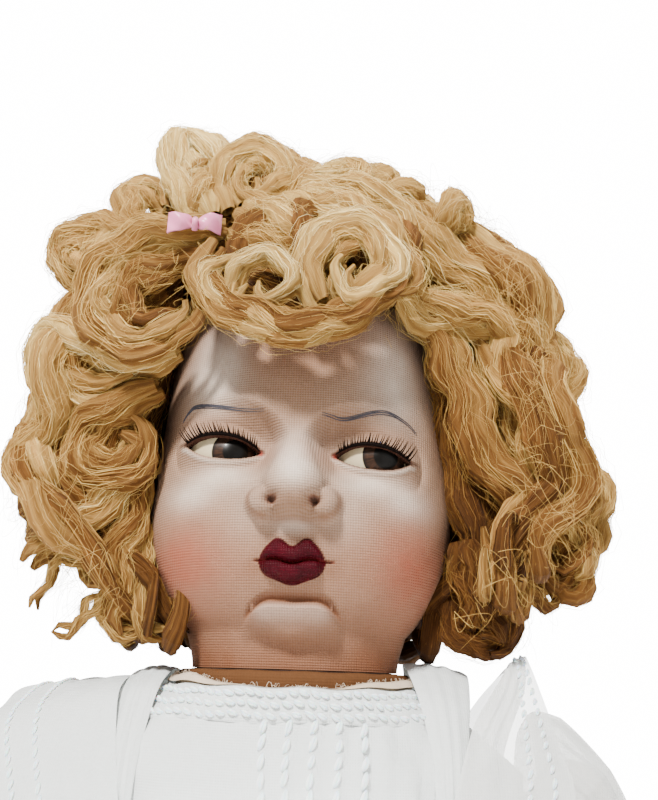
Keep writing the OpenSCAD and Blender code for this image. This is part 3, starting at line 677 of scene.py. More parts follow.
def on_face(x, z, off=0.0):
    y, _ = front_surface(np.asarray(x, float), np.asarray(z, float))
    return np.stack([np.asarray(x, float), y - off, np.asarray(z, float) + NECK], -1)


def make_brows():
    s = Soup()
    for pts in ([(-38.4, 76.2), (-36.4, 78.6), (-33.4, 80.0), (-26, 78.9), (-18, 77.4), (-10.3, 76.4)],
                [(7.4, 75.4), (11, 75.2), (15.1, 75.2), (23.2, 77.5), (27.5, 78.2), (31, 77.7), (35, 76.0),
                 (38, 73.6)]):
        c = spline([(a, b, 0) for a, b in pts], 120)[:, :2]
        t = np.linspace(0, 1, 120)
        for k in range(7):
            lift = (k - 3) * 0.15 + 0.12 * np.sin(9 * t + k * 1.7)
            a, b = sorted(rng.uniform(0, 1, 2) * [0.25, 1]) if k % 2 else (0.0, 1.0)
            sel = slice(int(a * 119), max(int(b * 119), int(a * 119) + 30))
            p = on_face(c[sel, 0], c[sel, 1] + lift[sel], 0.05)
            r = 0.19 * np.sin(np.linspace(0.12, math.pi - 0.08, len(p))) ** 0.6
            s.tube(p, r, 5, (0, 0, 0.5))
    return place(s.build("painted_brows"), "head", "skin_cloth", BROW)


def make_lashes():
    for sgn, node in ((-1, "lashes_right"), (1, "lashes_left")):
        s = Soup()
        slope, rise = TILT[sgn]

        def edge(u):
            return on_face([sgn * (EYE_X + LID_HALF * u)],
                           [EYE_Z + rise + slope * LID_HALF * u + lid_top(u) + 0.35])[0]

        for i in range(32):
            u = float(np.clip(-0.88 + 1.84 * (i + rng.uniform(-0.35, 0.35)) / 31, -0.93, 0.97))
            length = 2.7 + 1.3 * smooth(-0.5, 0.9, u) + rng.uniform(-0.6, 0.5)
            out = sgn * (0.42 * u + 0.22) + rng.uniform(-0.10, 0.10)
            d = np.array([out, -0.62, 0.42])
            d /= np.linalg.norm(d)
            tt = np.linspace(0, 1, 7)[:, None]
            p = edge(u) + d * length * tt + np.array([0.10 * out, 0.0, 1.0]) * (length * 0.38 * tt ** 2)
            s.tube(p, 0.27 * (1 - 0.8 * tt[:, 0] ** 1.3), 5)
        lid = np.array([edge(u) for u in np.linspace(-0.97, 0.97, 60)])
        s.tube(lid, 0.62 * np.sin(np.linspace(0.3, math.pi - 0.3, 60)), 6)
        place(s.build(node + "_side"), "head", "lash_hair", LASH, node)


def eye_material():
    m = Nodes("blown_glass_eye", (0.86, 0.80, 0.70), 0.35, Coat_Weight=0.04, Coat_Roughness=0.05)
    vec, ring, _, _ = m.attr("look")
    # the white is painted a dull brownish yellow, far darker than clean glass, as shade under the lids
    white = m.mix(m.math("MULTIPLY", m.noise(150, 4), 0.5), (0.52, 0.45, 0.30), (0.30, 0.20, 0.09))
    spokes = m.noise(1.0, 3, m.stretch(2.0, 46.0, 1.0, vec))
    iris = m.ramp(spokes, [(0.3, (0.008, 0.005, 0.004)), (0.75, (0.045, 0.020, 0.010))])
    iris = m.mix(m.ramp(ring, [(0.80, 0.0), (0.97, 1.0)]), iris, (0.005, 0.004, 0.004))
    iris = m.mix(m.ramp(ring, [(0.50, 1.0), (0.56, 0.0)]), iris, (0.002, 0.0015, 0.001))
    m.color(m.mix(m.ramp(ring, [(0.97, 0.0), (1.0, 1.0)]), iris, white))
    m.set(m.b, "Specular IOR Level", 0.12)
    return m.m


EYE_GLASS = eye_material()


def make_eyes():
    glance = math.radians(19.0)
    for sgn, body, node in ((1, "left_eye", "eye_left"), (-1, "right_eye", "eye_right")):
        from_pole = np.concatenate([np.linspace(0.001, 0.62, 40), np.linspace(0.64, math.pi - 0.001, 40)])
        A, T = np.meshgrid(from_pole, np.linspace(0, 2 * math.pi, 72, endpoint=False), indexing="ij")
        r = EYE_R - 0.12 + 0.45 * np.exp(-(A / 0.36) ** 4)      # the clear cornea stands proud
        across, ahead, up = r * np.sin(A) * np.cos(T), r * -np.cos(A), r * np.sin(A) * np.sin(T)
        x = across * math.cos(glance) - ahead * math.sin(glance)
        y = across * math.sin(glance) + ahead * math.cos(glance)
        pts = np.stack([x + sgn * EYE_X, y + EYE_Y, up + EYE_Z + NECK], -1)
        attr = np.stack([np.clip(A / 0.60, 0, 4), T / (2 * math.pi) * np.where(A < 0.6, 1, 0.0), A * 0], -1)
        s = Soup()
        s.grid(pts, close_u=True, attr=attr)
        place(s.build("glass_" + node), body, "eye_glass", EYE_GLASS, node)


# ------------------------------------------------------------------ hair

HAIR_SHARE = 1            # of the hairs that a full look has
HEIGHT_SHADING, HEIGHT_SHADING_FROM = 0.0018, 95                 # painted light and shade: the wig is lighter towards its top and darker lower down, tone per mm, over this height
MOST_TRIANGLES = 190000                          # in one piece of the wig
CURL_R = (4.5, 6, 3.5)


def shaded_by_height(tone, z):
    """The tone of a lock at the world heights z, in mm, with painted light towards its top and painted shade lower
    down.
    """
    return tone + HEIGHT_SHADING * (z - NECK - HEIGHT_SHADING_FROM)


def fine_hairs(s, mid, e1, e2, radius, across, along, tone):
    """Three-sided hairs, one to a row of mid, with a radius in mm at each point."""
    corner = np.linspace(0, 2 * math.pi, 3, endpoint=False)[:, None]
    ring = e1[:, :, None] * np.cos(corner) + e2[:, :, None] * np.sin(corner)
    s.bundle(mid[:, :, None] + radius[:, :, None, None] * ring,
             np.stack([across + 0 * along, across + along, tone], -1))


def lock(s, path, r, tone=0.5, dense=1.0, twist=0.8, wave=(0.8, 3.0), flat=0.74, loose=1.0, g=rng):
    """One lock of hair along control points in mm: a ridged core, and fine hairs that lie on it in clumps.
    r is its radius at the root, middle and tip."""
    c = spline(path, 12 * len(path))
    run = np.concatenate([[0], np.cumsum(np.linalg.norm(np.diff(c, axis=0), axis=1))])
    n = int(np.clip(run[-1] / (2.6), 12, 60))
    u = np.linspace(0, 1, n)
    c = np.stack([np.interp(u * run[-1], run, c[:, j]) for j in range(3)], -1)
    phase = g.uniform(0, 2 * math.pi, 4)
    t, a, b = frames(c)
    amp = wave[0] * smooth(0, 0.25, u)
    c = c + a * (amp * np.sin(2 * math.pi * wave[1] * u + phase[0]))[:, None] \
          + b * (0.7 * amp * np.cos(2 * math.pi * wave[1] * u + phase[1]))[:, None]
    t, a, b = frames(c)
    rad = np.where(u < 0.5, r[0] + (r[1] - r[0]) * smooth(0, 0.5, u),
                   r[1] + (r[2] - r[1]) * smooth(0.5, 1.0, u))
    rad = rad * (1 - 0.45 * smooth(0.08, 0.0, u)) * (1 - 0.6 * smooth(0.90, 1.0, u))
    rad = rad * (1 + 0.13 * np.sin(u * run[-1] * 0.30 + phase[3]) + 0.08 * np.sin(u * run[-1] * 0.71 + phase[2]))
    k = max(4, int(round(r[1] * 1.15)))
    turn = twist * 2 * math.pi * u + 0.3 * np.sin(4 * math.pi * u + phase[2])

    def around(uu, ang, out):
        """Points at an angle round the middle line, out being a share of the lock's radius."""
        mid, e1, e2 = (np.stack([np.interp(uu, u, v[:, j]) for j in range(3)], -1) for v in (c, a, b))
        q = (np.interp(uu, u, rad) * out)[..., None]
        return mid + q * (e1 * np.cos(ang)[..., None] + flat * e2 * np.sin(ang)[..., None]), e1, e2

    th = np.linspace(0, 2 * math.pi, 4 * k, endpoint=False)
    U, T = np.meshgrid(u, th, indexing="ij")
    ridge = np.cos(k * (T - turn[:, None]))
    core, _, _ = around(U, T, 0.84 + 0.035 * ridge + 0.05 * np.sin(9 * U + 2 * T + phase[3]))
    off = g.uniform(0, 100)
    # painted shade: the core, under the fine hairs, is darker than they are, and darker still between its ridges
    level = shaded_by_height(tone, np.interp(U, u, c[:, 2])) - 0.17 + 0.07 * ridge
    look = np.stack([off + 1.3 * np.cos(T), off + 0.05 * run[-1] * U, np.clip(level, 0.08, 1)], -1)
    s.grid(core, close_u=True, attr=look)

    # the hairs that lie along the lock, of which some stray
    count = int(dense * 16 * r[1] * HAIR_SHARE)
    m = max(8, int(0.36 * n))
    j = g.integers(0, k, count)
    delta = g.uniform(-0.5, 0.5, count) * 2 * math.pi / k
    stray = g.random(count) < 0.26 * loose
    u0 = g.uniform(0, 0.3, count)
    u1 = np.where(stray, u0 + g.uniform(0.2, 0.5, count), g.uniform(0.72, 1.0, count))
    uu = u0[:, None] + (u1 - u0)[:, None] * np.linspace(0, 1, m)[None]
    f1, p1, f2, p2 = (g.uniform(lo, hi, count)[:, None] for lo, hi in ((1, 4), (0, 6.3), (1, 3.5), (0, 6.3)))
    sway = np.where(stray, 0.45, 0.13)[:, None]
    ang = (2 * math.pi * j / k + delta)[:, None] + np.interp(uu, u, turn) \
        + sway * np.sin(2 * math.pi * f1 * uu + p1)
    crown = np.cos(k * delta)
    out = (0.87 + 0.04 * crown + g.uniform(0, 0.07, count))[:, None] + 0.03 * np.sin(2 * math.pi * f2 * uu + p2)
    out = out + (stray * g.uniform(0.03, 0.38, count) ** 1.2)[:, None] \
        * (1 + np.sin(2 * math.pi * f2 * uu + p2)) * 0.6
    out = out + (g.uniform(-0.10, 0.22, count) * loose)[:, None] * smooth(0.72, 1.0, uu)
    p, e1, e2 = around(uu, ang, out)
    wide = g.uniform(0.075, 0.16, count)[:, None] * np.where(stray, 0.5, 1.0)[:, None] \
        * np.sin(np.linspace(0.18, math.pi - 0.12, m)) ** 0.6
    off = g.uniform(0, 100, count)[:, None]
    # each hair's tone varies at random; hairs on a ridge's crest are lighter and those between ridges darker, as
    # painted light and shade, and stray hairs a little lighter
    shade = (0.07 * crown + g.normal(0, 0.10, count) + 0.05 * stray)[:, None]
    fine_hairs(s, p, e1, e2, wide, off, 0.05 * run[-1] * uu, np.clip(shaded_by_height(tone, p[..., 2]) + shade, 0.02, 1))

    # frizz: short fine hairs that have worked loose all along the lock
    count, m = int(dense * 9 * loose * r[1] * HAIR_SHARE) + 1, 8
    along = np.linspace(0, 1, m)[None]
    span = np.minimum(g.uniform(6, 24, count) / run[-1], 0.45)
    u0 = g.uniform(0.02, 0.99 - span)
    uu = u0[:, None] + span[:, None] * along
    f1, p1, f2, p2 = (g.uniform(lo, hi, count)[:, None] for lo, hi in ((0.5, 2.0), (0, 6.3), (1, 3), (0, 6.3)))
    ang = g.uniform(0, 6.3, count)[:, None] + np.interp(uu, u, turn) \
        + g.uniform(-1.0, 1.0, count)[:, None] * along + 0.30 * np.sin(2 * math.pi * f1 * along + p1)
    out = 0.93 + (g.uniform(0.10, 0.85, count) ** 1.3)[:, None] * np.sin(along * 2.7) \
        + 0.08 * np.sin(2 * math.pi * f2 * along + p2)
    p, e1, e2 = around(uu, ang, out)
    level = shaded_by_height(tone + 0.08, p[..., 2]) + g.normal(0, 0.06, count)[:, None]
    off = g.uniform(0, 100, count)[:, None]
    thin = 0.055 * np.sin(np.linspace(0.3, math.pi - 0.2, m)) ** 0.5
    fine_hairs(s, p, e1, e2, thin[None], off, 2 * uu, np.clip(level, 0.05, 1))


def flyaways(s, n, g, spot, size=12.0):
    """Loose single hairs that arc out of the wig. spot(g) gives a root and an outward direction."""
    tt = np.linspace(0, 1, 12)[:, None]
    for _ in range(n):
        root, out = spot(g)
        side = np.cross(out, g.normal(size=3))
        side /= np.linalg.norm(side) + 1e-9
        reach = size * g.uniform(0.4, 1.2)
        p = root + out * reach * 0.5 * np.sin(tt * 1.9) \
            + side * reach * 0.6 * np.sin(tt * g.uniform(1.5, 5.0)) + np.array([0, 0, -1]) * reach * 0.35 * tt ** 2
        off = g.uniform(0, 100)
        s.tube(p, 0.062 * (1 - 0.5 * tt[:, 0]), 3, np.array([off, off, 0.62]))


def polar(angle, radius, z):
    """Point at an angle from straight ahead (degrees, positive to +X), and a height above the neck's edge."""
    a = math.radians(angle)
    return np.array([radius * math.sin(a), -radius * math.cos(a), z + NECK])


WIG_Z = (6, 18, 42, 60, 85, 105, 133, 152, 165, 178)
WIG_R = (66, 74, 95, 101, 96, 93, 86, 75, 57, 32)      # outer radius of the wig at those heights, at the side


def wig_radius(angle, z, sgn=0):
    side = abs(math.sin(math.radians(angle)))
    r = np.interp(z, WIG_Z, WIG_R) * (0.80 + (0.20 if abs(angle) < 100 else 0.06) * side)
    return r - 12 * smooth(60, 20, z) * side * (sgn < 0)


def side_locks(s, lo, hi, count, g, layers=(0, 1, 2), cover=1.0):
    """Waved locks that tumble from the crown between two angles, in layers from the scalp outwards. cover is their
    share of fine hairs."""
    for layer in layers:
        n = count + layer
        for i in range(n):
            ang = lo + (hi - lo) * (i + 0.5 + g.uniform(-0.3, 0.3)) / n
            share = (0.66, 0.80, 0.91)[layer] + g.uniform(-0.04, 0.05)
            bottom = 10.0 + g.uniform(0, (14, 22, 46)[layer])
            sway, start = g.uniform(4, 9) * (0.5, 0.8, 1.0)[layer], g.uniform(0, 6.28)
            heights = np.linspace((140, 146, 138)[layer] + g.uniform(-8, 8), bottom, 8)
            pts = [polar(ang, 0.62 * wig_radius(ang, 140), 142 + 6 * layer)]
            for k, z in enumerate(heights):
                w = start + k * 1.9
                radius = wig_radius(ang, z, math.sin(math.radians(ang))) * share + 3.5 * math.cos(w)
                pts.append(polar(ang + sway * math.sin(w), radius, z))
            # the tip curls back on itself
            tip, turn = pts[-1], g.choice([-1, 1])
            across = np.cross([0, 0, 1], [tip[0], tip[1], 0.0])
            across = across / np.linalg.norm(across) * turn
            for x, z in ((5, -1.0), (9, 4), (7, 10), (2, 9)):
                pts.append(tip + across * x + np.array([0, 0, z]))
            size = g.uniform(7.4, 10.0)
            # the inner layers get lower tones, as painted shade under the outer ones
            plies(s, pts, (size * 0.7, size, size * 0.45), 2, g, tone=g.uniform(0.42, 0.74) - (0.16, 0.07, 0)[layer],
                  dense=(0.2, 0.4, 0.7)[layer] * cover, twist=g.uniform(0.2, 0.6),
                  wave=(g.uniform(1.3, 2.6), g.uniform(3.5, 6.5)), loose=1.2)


def coil(centre, axis, radius, turns, pitch, start):
    """Control points of a rolled curl: a spiral about an axis. centre is in mm, its height above the neck's edge."""
    axis = np.asarray(axis, float) / np.linalg.norm(axis)
    a = np.cross(axis, [0.13, 0.2, 0.97])
    a /= np.linalg.norm(a)
    w = np.linspace(0, 1, max(8, int(turns * 8)))
    ang = start + 2 * math.pi * turns * w
    arm = a * np.cos(ang)[:, None] + np.cross(axis, a) * np.sin(ang)[:, None]
    return np.asarray(centre, float) + [0, 0, NECK] + arm * (radius * (1 - 0.75 * w))[:, None] \
        + axis * (pitch * (w - 0.5))[:, None]


def curl(s, g, centre, radius, turns, pitch, tone, r=CURL_R, dense=1.0):
    """A rolled curl about an axis in any direction. radius, turns, pitch and tone are ranges to draw from."""
    path = coil(centre, g.normal(size=3) * [1, 1, 0.4], g.uniform(*radius), g.uniform(*turns), g.uniform(*pitch),
                g.uniform(0, 6))
    lock(s, path, r, tone=g.uniform(*tone), dense=dense, g=g)


def plies(s, pts, r, n, g, tone=0.5, **kw):
    """A full lock: n thinner ones that wind slowly about its path."""
    c = spline(pts, 3 * len(pts))
    _, a, b = frames(c)
    turn = np.linspace(0, g.uniform(1.5, 3.5), len(c)) + g.uniform(0, 6.3)
    for j in range(n):
        w = turn + 2 * math.pi * j / n
        off = 0.46 * r[1] * (a * np.cos(w)[:, None] + b * np.sin(w)[:, None])
        lock(s, c + off, [0.74 * q for q in r], tone=tone + g.normal(0, 0.07), g=g, **kw)


def drawn(s, locks, g):
    """Locks given one by one: (radius, tone, control points from root to tip), heights above the neck's edge."""
    for r, tone, pts in locks:
        pts = np.array(pts, float) + [0, 0, NECK]
        plies(s, pts, (0.95 * r, 1.15 * r, 0.7 * r), 3 if r > 4 else 2, g, tone=tone, dense=0.8,
              twist=g.uniform(0.1, 0.4), wave=(g.uniform(0.7, 1.6), 0.55 * len(pts)), flat=0.85, loose=1.5)


# the locks with the lowest tones lie under the others, and their darker tone is painted shade
FRINGE = (
    (5.6, 0.56, ((-26, -50, 136), (-38, -52, 135), (-52, -49, 134), (-65, -45, 127), (-69, -44, 115),
     (-64, -46, 103), (-53, -50, 95), (-41, -54, 97), (-34, -57, 103), (-34, -58, 108))),
    (4.6, 0.40, ((-30, -50, 127), (-44, -49, 124), (-55, -47, 118), (-56, -48, 109), (-48, -51, 103),
     (-39, -54, 104))),
    (4.8, 0.52, ((-28, -56, 128), (-31, -58, 119), (-29, -60, 110), (-22, -62, 104), (-10, -64, 99), (2, -66, 97),
     (14, -64, 101), (24, -61, 109), (30, -55, 120))),
    (3.2, 0.66, ((-27, -60, 112), (-16, -65, 100), (-2, -67, 94), (11, -66, 97), (20, -63, 103))),
    (3.2, 0.66, ((-21, -61, 111), (-18, -63, 119), (-10, -64, 121), (-3, -64, 116), (-4, -63, 109), (-11, -62, 107),
     (-14, -62, 112))),
    (2.8, 0.70, ((-22, -57, 124), (-29, -60, 117), (-28, -62, 109), (-21, -62, 107), (-18, -61, 113))),
    (5.2, 0.68, ((6, -62, 106), (2, -62, 117), (5, -61, 128), (13, -59, 134), (22, -58, 131), (27, -58, 122),
     (24, -62, 113), (16, -64, 109), (11, -64, 114), (14, -63, 119))),
    (4.8, 0.50, ((27, -46, 144), (22, -52, 138), (15, -57, 132), (10, -60, 125), (9, -61, 116))),
    (5.0, 0.42, ((-27, -48, 134), (-14, -51, 130), (-1, -54, 125), (9, -56, 122))),
    (5.6, 0.52, ((-22, -44, 147), (-8, -50, 138), (5, -54, 130), (14, -55, 124))),
    (6.0, 0.58, ((-8, -40, 154), (7, -46, 146), (19, -50, 141), (28, -52, 131), (31, -52, 120), (26, -54, 112))),
    (5.5, 0.28, ((-40, -40, 132), (-20, -48, 120), (0, -54, 114), (20, -50, 116), (34, -42, 122))),
    (5.5, 0.28, ((-46, -40, 120), (-52, -36, 112), (-50, -38, 104))),
)
CROWN = (
    (6.8, 0.74, ((-33, -42, 143), (-41, -39, 156), (-46, -36, 168), (-48, -34, 176), (-42, -32, 180),
     (-35, -32, 176), (-30, -34, 166), (-28, -40, 151))),
    (5.0, 0.45, ((-36, -42, 146), (-38, -40, 160), (-37, -38, 168))),
    (6.5, 0.34, ((-33, -32, 148), (-38, -28, 160), (-40, -27, 170))),
    (7.0, 0.32, ((-12, -34, 148), (-17, -31, 158), (-18, -29, 167), (-16, -27, 177))),
    (6.5, 0.36, ((10, -30, 148), (12, -26, 160), (14, -24, 167))),
    (5.5, 0.36, ((-8, -32, 156), (-10, -28, 166), (-11, -26, 174))),
    (6.2, 0.63, ((-24, -42, 148), (-29, -39, 160), (-26, -37, 171), (-18, -35, 175), (-9, -36, 169), (-7, -40, 159),
     (-13, -43, 151), (-20, -43, 154), (-21, -42, 161))),
    (5.6, 0.68, ((-27, -28, 170), (-24, -26, 179), (-15, -26, 180), (-6, -28, 173), (-4, -30, 164))),
    (5.0, 0.63, ((-10, -34, 160), (3, -30, 167), (14, -27, 172), (23, -24, 174), (28, -24, 171), (24, -26, 166))),
    (6.8, 0.60, ((-9, -41, 151), (2, -38, 156), (15, -36, 157), (27, -35, 154), (35, -36, 146), (38, -38, 136))),
    (5.4, 0.58, ((-48, -38, 142), (-59, -36, 145), (-64, -33, 155), (-61, -31, 161), (-54, -31, 160),
     (-48, -34, 151))),
    (6.6, 0.58, ((-56, -38, 138), (-70, -33, 143), (-81, -29, 143), (-85, -27, 137), (-80, -28, 131),
     (-69, -32, 129), (-60, -36, 131))),
)
RIGHT_SIDE = (
    (6.8, 0.76, ((-40, -44, 98), (-52, -42, 95), (-66, -38, 100), (-80, -32, 106), (-86, -28, 103), (-87, -27, 95),
     (-79, -30, 88), (-66, -34, 85), (-53, -38, 88))),
    (6.0, 0.52, ((-46, -38, 87), (-55, -36, 83), (-66, -32, 77), (-71, -29, 67), (-63, -30, 59), (-54, -32, 61),
     (-50, -34, 69), (-56, -35, 73))),
    (6.4, 0.70, ((-62, -28, 96), (-78, -22, 90), (-86, -19, 81), (-87, -18, 69), (-80, -19, 61), (-71, -22, 62))),
    (5.6, 0.66, ((-52, -30, 72), (-56, -28, 60), (-62, -26, 51), (-72, -24, 44), (-81, -22, 38), (-87, -22, 30))),
    (4.6, 0.55, ((-52, -24, 60), (-53, -24, 46), (-57, -24, 34), (-56, -22, 22), (-58, -20, 14), (-54, -20, 9))),
    (3.8, 0.72, ((-51, -20, 44), (-50, -20, 30), (-49, -20, 18), (-46, -20, 11), (-41, -20, 9))),
    (4.4, 0.55, ((-49, -12, 38), (-45, -13, 25), (-40, -14, 15), (-37, -15, 9))),
    (2.4, 0.72, ((-56, -22, 38), (-66, -22, 34), (-75, -22, 32), (-80, -22, 25), (-82, -22, 16))),
    (2.2, 0.70, ((-56, -22, 26), (-64, -22, 18), (-69, -22, 11), (-76, -22, 9))),
    (2.2, 0.70, ((-58, -18, 30), (-62, -18, 20), (-60, -20, 12), (-52, -20, 9), (-46, -20, 12))),
    (7.0, 0.24, ((-48, -16, 112), (-53, -2, 88), (-54, 2, 62), (-51, 4, 38), (-44, 6, 20))),
)
LEFT_SIDE = (
    (6.0, 0.58, ((29, -46, 134), (32, -45, 122), (40, -41, 114), (52, -36, 115), (66, -30, 114), (76, -25, 107),
     (82, -21, 97), (77, -21, 91))),
    (6.4, 0.58, ((33, -38, 148), (44, -35, 139), (59, -31, 129), (71, -27, 117), (81, -23, 105), (84, -21, 95),
     (79, -20, 90))),
    (7.2, 0.55, ((32, -28, 161), (47, -24, 152), (66, -19, 141), (80, -15, 133), (86, -13, 124), (79, -13, 117))),
    (7.0, 0.50, ((42, -26, 146), (57, -21, 139), (74, -17, 129), (83, -15, 119))),
    (6.0, 0.48, ((38, -38, 120), (45, -35, 107), (49, -33, 96), (55, -31, 86), (57, -30, 75), (61, -29, 67),
     (69, -28, 60), (75, -27, 52), (75, -27, 43), (69, -28, 37), (62, -29, 39), (61, -30, 45))),
    (6.4, 0.26, ((46, -26, 108), (52, -22, 88), (55, -18, 70), (57, -16, 54), (60, -18, 41), (64, -20, 32))),
    (6.0, 0.46, ((57, -27, 110), (63, -26, 97), (71, -25, 86), (75, -23, 74), (80, -21, 65), (86, -19, 55),
     (90, -17, 45), (91, -17, 37), (85, -18, 32), (81, -18, 36))),
    (5.6, 0.60, ((80, -15, 117), (89, -13, 111), (93, -11, 103), (90, -11, 94), (83, -13, 90))),
    (6.0, 0.68, ((82, -13, 88), (89, -11, 79), (96, -9, 70), (101, -7, 60), (99, -7, 51), (100, -7, 44),
     (94, -9, 40))),
    (5.0, 0.66, ((84, -14, 74), (92, -12, 66), (97, -11, 56), (95, -11, 47), (88, -12, 45), (86, -13, 52))),
    (4.6, 0.60, ((78, -20, 60), (86, -18, 50), (93, -16, 40), (93, -15, 31), (87, -16, 27), (81, -17, 31))),
    (5.6, 0.42, ((54, -20, 42), (57, -19, 30), (62, -18, 22), (66, -17, 17), (67, -16, 12), (61, -16, 9))),
    (4.2, 0.35, ((50, -6, 26), (50, -8, 17), (55, -11, 11), (62, -13, 9), (67, -14, 10))),
    (3.4, 0.55, ((66, -22, 38), (72, -20, 30), (78, -18, 24), (84, -16, 27), (82, -16, 33))),
    (7.0, 0.24, ((44, -18, 118), (51, -4, 96), (53, 0, 70), (51, 2, 44), (47, 4, 26))),
)


def make_hair():
    g = np.random.default_rng(5)

    def spot(lo, hi, low, high):
        def pick(q):
            ang, z = q.uniform(lo, hi), q.uniform(low, high)
            p = polar(ang, wig_radius(ang, z) * 0.93, z)
            out = np.array([p[0], p[1], 30.0 * (z > 140)])
            return p, out / np.linalg.norm(out)
        return pick

    def piece(name, *replaced):
        for k, part in enumerate(s.split(MOST_TRIANGLES)):
            place(part.build(name if k == 0 else "%s_%d" % (name, k + 1)), "head", "mohair", HAIR,
                  *(replaced if k == 0 else ()))

    for sgn, drawn_locks, side in ((1, LEFT_SIDE, "left"), (-1, RIGHT_SIDE, "right")):
        s = Soup()
        drawn(s, drawn_locks, g)
        side_locks(s, *sorted((sgn * 66, sgn * 98)), 4, g, (1, 2))
        flyaways(s, 420, g, spot(*sorted((sgn * 45, sgn * 100)), 15, 155), 16.0)
        piece("hair_%s_side" % side, "wig_side_" + side)
        s = Soup()
        side_locks(s, *sorted((sgn * 74, sgn * 98)), 3, g, (0,))
        side_locks(s, *sorted((sgn * 98, sgn * 142)), 5, g, cover=0.6)
        flyaways(s, 90, g, spot(*sorted((sgn * 98, sgn * 142)), 15, 150))
        piece("hair_%s_rear" % side)
    s = Soup()
    side_locks(s, 142, 218, 7, g, cover=0.6)
    flyaways(s, 90, g, spot(142, 218, 15, 150))
    piece("hair_back", "wig_back")

    s = Soup()
    drawn(s, CROWN, g)
    for ang, radius, z in ((52, 62, 150), (-66, 58, 152), (78, 58, 152), (20, 34, 164), (48, 42, 162), (-14, 20, 170),
                           (-48, 40, 164)):
        curl(s, g, polar(ang, radius, z) - [0, 0, NECK], (9, 12), (1.2, 1.7), (4, 10), (0.4, 0.62))
    # the net under the hair, in the hair's material at no tone, so in its darkest brown, as painted shade under the
    # locks
    ring = np.linspace(-math.pi, math.pi, 73)[:-1]
    rows = []
    for v in np.linspace(0, 1, 24):
        low = 119 - 75 * smooth(0.8, 1.8, np.abs(ring))
        z = low + (141.5 - low) * v
        r = np.where(z > 98, np.sqrt(np.maximum((SKULL_R + 1.4) ** 2 - (z - SKULL_Z) ** 2, 1)), head_radius(z) + 1.2)
        rows.append(np.stack([r * np.sin(ring), -r * np.cos(ring), z + NECK], -1))
    s.grid(np.array(rows), close_u=True)
    flyaways(s, 320, g, spot(-180, 180, 146, 172), 15.0)
    piece("hair_crown", "wig_crown", "wig_cap")
    s = Soup()
    for z, radius, n in ((148, 60, 9), (158, 46, 8), (166, 27, 6), (170, 8, 2)):
        for i in range(n):
            ang = 90 + 180 * (i + 0.5 + g.uniform(-0.2, 0.2)) / n
            curl(s, g, polar(ang, radius, z) - [0, 0, NECK], (9, 12.5), (1.1, 1.7), (4, 12), (0.4, 0.7),
                 (4.5, 6.2, 3.5), 0.6)
    for x in np.linspace(-50, 50, 8):
        for y, rise in ((-16, 0), (-3, 3)):
            curl(s, g, (x + g.uniform(-3, 3), y, 165 + rise - 0.0052 * x * x), (8, 11), (1.1, 1.5), (4, 10),
                 (0.42, 0.66), dense=0.6)
    # short locks under the curls, at a low tone as painted shade beneath them
    for i in range(18):
        ang = 20 * i
        lock(s, [polar(ang, r, z) for r, z in ((6, 150), (34, 148), (52, 140), (58, 122))], (6, 8, 6), tone=0.3,
             dense=0.4, g=g)
    piece("hair_crown_rear")

    s = Soup()
    drawn(s, FRINGE, g)

    def brow_spot(q):
        return (np.array([q.uniform(-58, 46), q.uniform(-66, -52), q.uniform(100, 140) + NECK]),
                np.array([q.uniform(-0.4, 0.4), -0.7, q.uniform(-0.6, 0.5)]))

    flyaways(s, 170, g, brow_spot, 8.0)
    piece("hair_fringe", "wig_fringe")


def make_ribbon():
    """A small satin bow, half sunk in the hair."""
    s = Soup()
    X, V = np.meshgrid(np.linspace(-1, 1, 60), np.linspace(-1, 1, 13))
    half = 1.5 + 1.6 * np.abs(X) ** 0.7 - 1.0 * np.exp(-(X / 0.16) ** 2)
    puff = 2.6 * np.sin(np.abs(X) * math.pi) * (1 - 0.3 * V ** 2) + 0.4 * np.sin(9 * X + 3 * V)
    lean, turn = 0.30, math.radians(14)
    x, y, z = 8.4 * X, -puff - lean * half * V, half * V + 1.0 * X
    base = np.array([-34.8, -58.5, 134.2 + NECK])
    front = base + np.stack([x * math.cos(turn) - y * math.sin(turn), x * math.sin(turn) + y * math.cos(turn), z],
                            -1)
    back = front + [0, 0.8, 0.1]
    s.slab(front, back)
    s.tube(spline([base + (0, 0.5, 1.8), base + (0.4, -1.8, 0), base + (0, 0.5, -1.8)], 20), 1.0, 10)
    return place(s.build("satin_bow"), "head", "satin", SATIN, "hair_ribbon")


# ------------------------------------------------------------------ dress

def cloth_section(z):
    """Half width and half depth of the bodice's cloth at a height, in mm."""
    zz = [10, 60, 185, TORSO_TOP - 1, TORSO_TOP + 3.4]
    return np.interp(z, zz, [71.4, 77.4, 73.4, 50.6, 42.8]), np.interp(z, zz, [49.4, 50.4, 46.6, 43.6, 42.6])


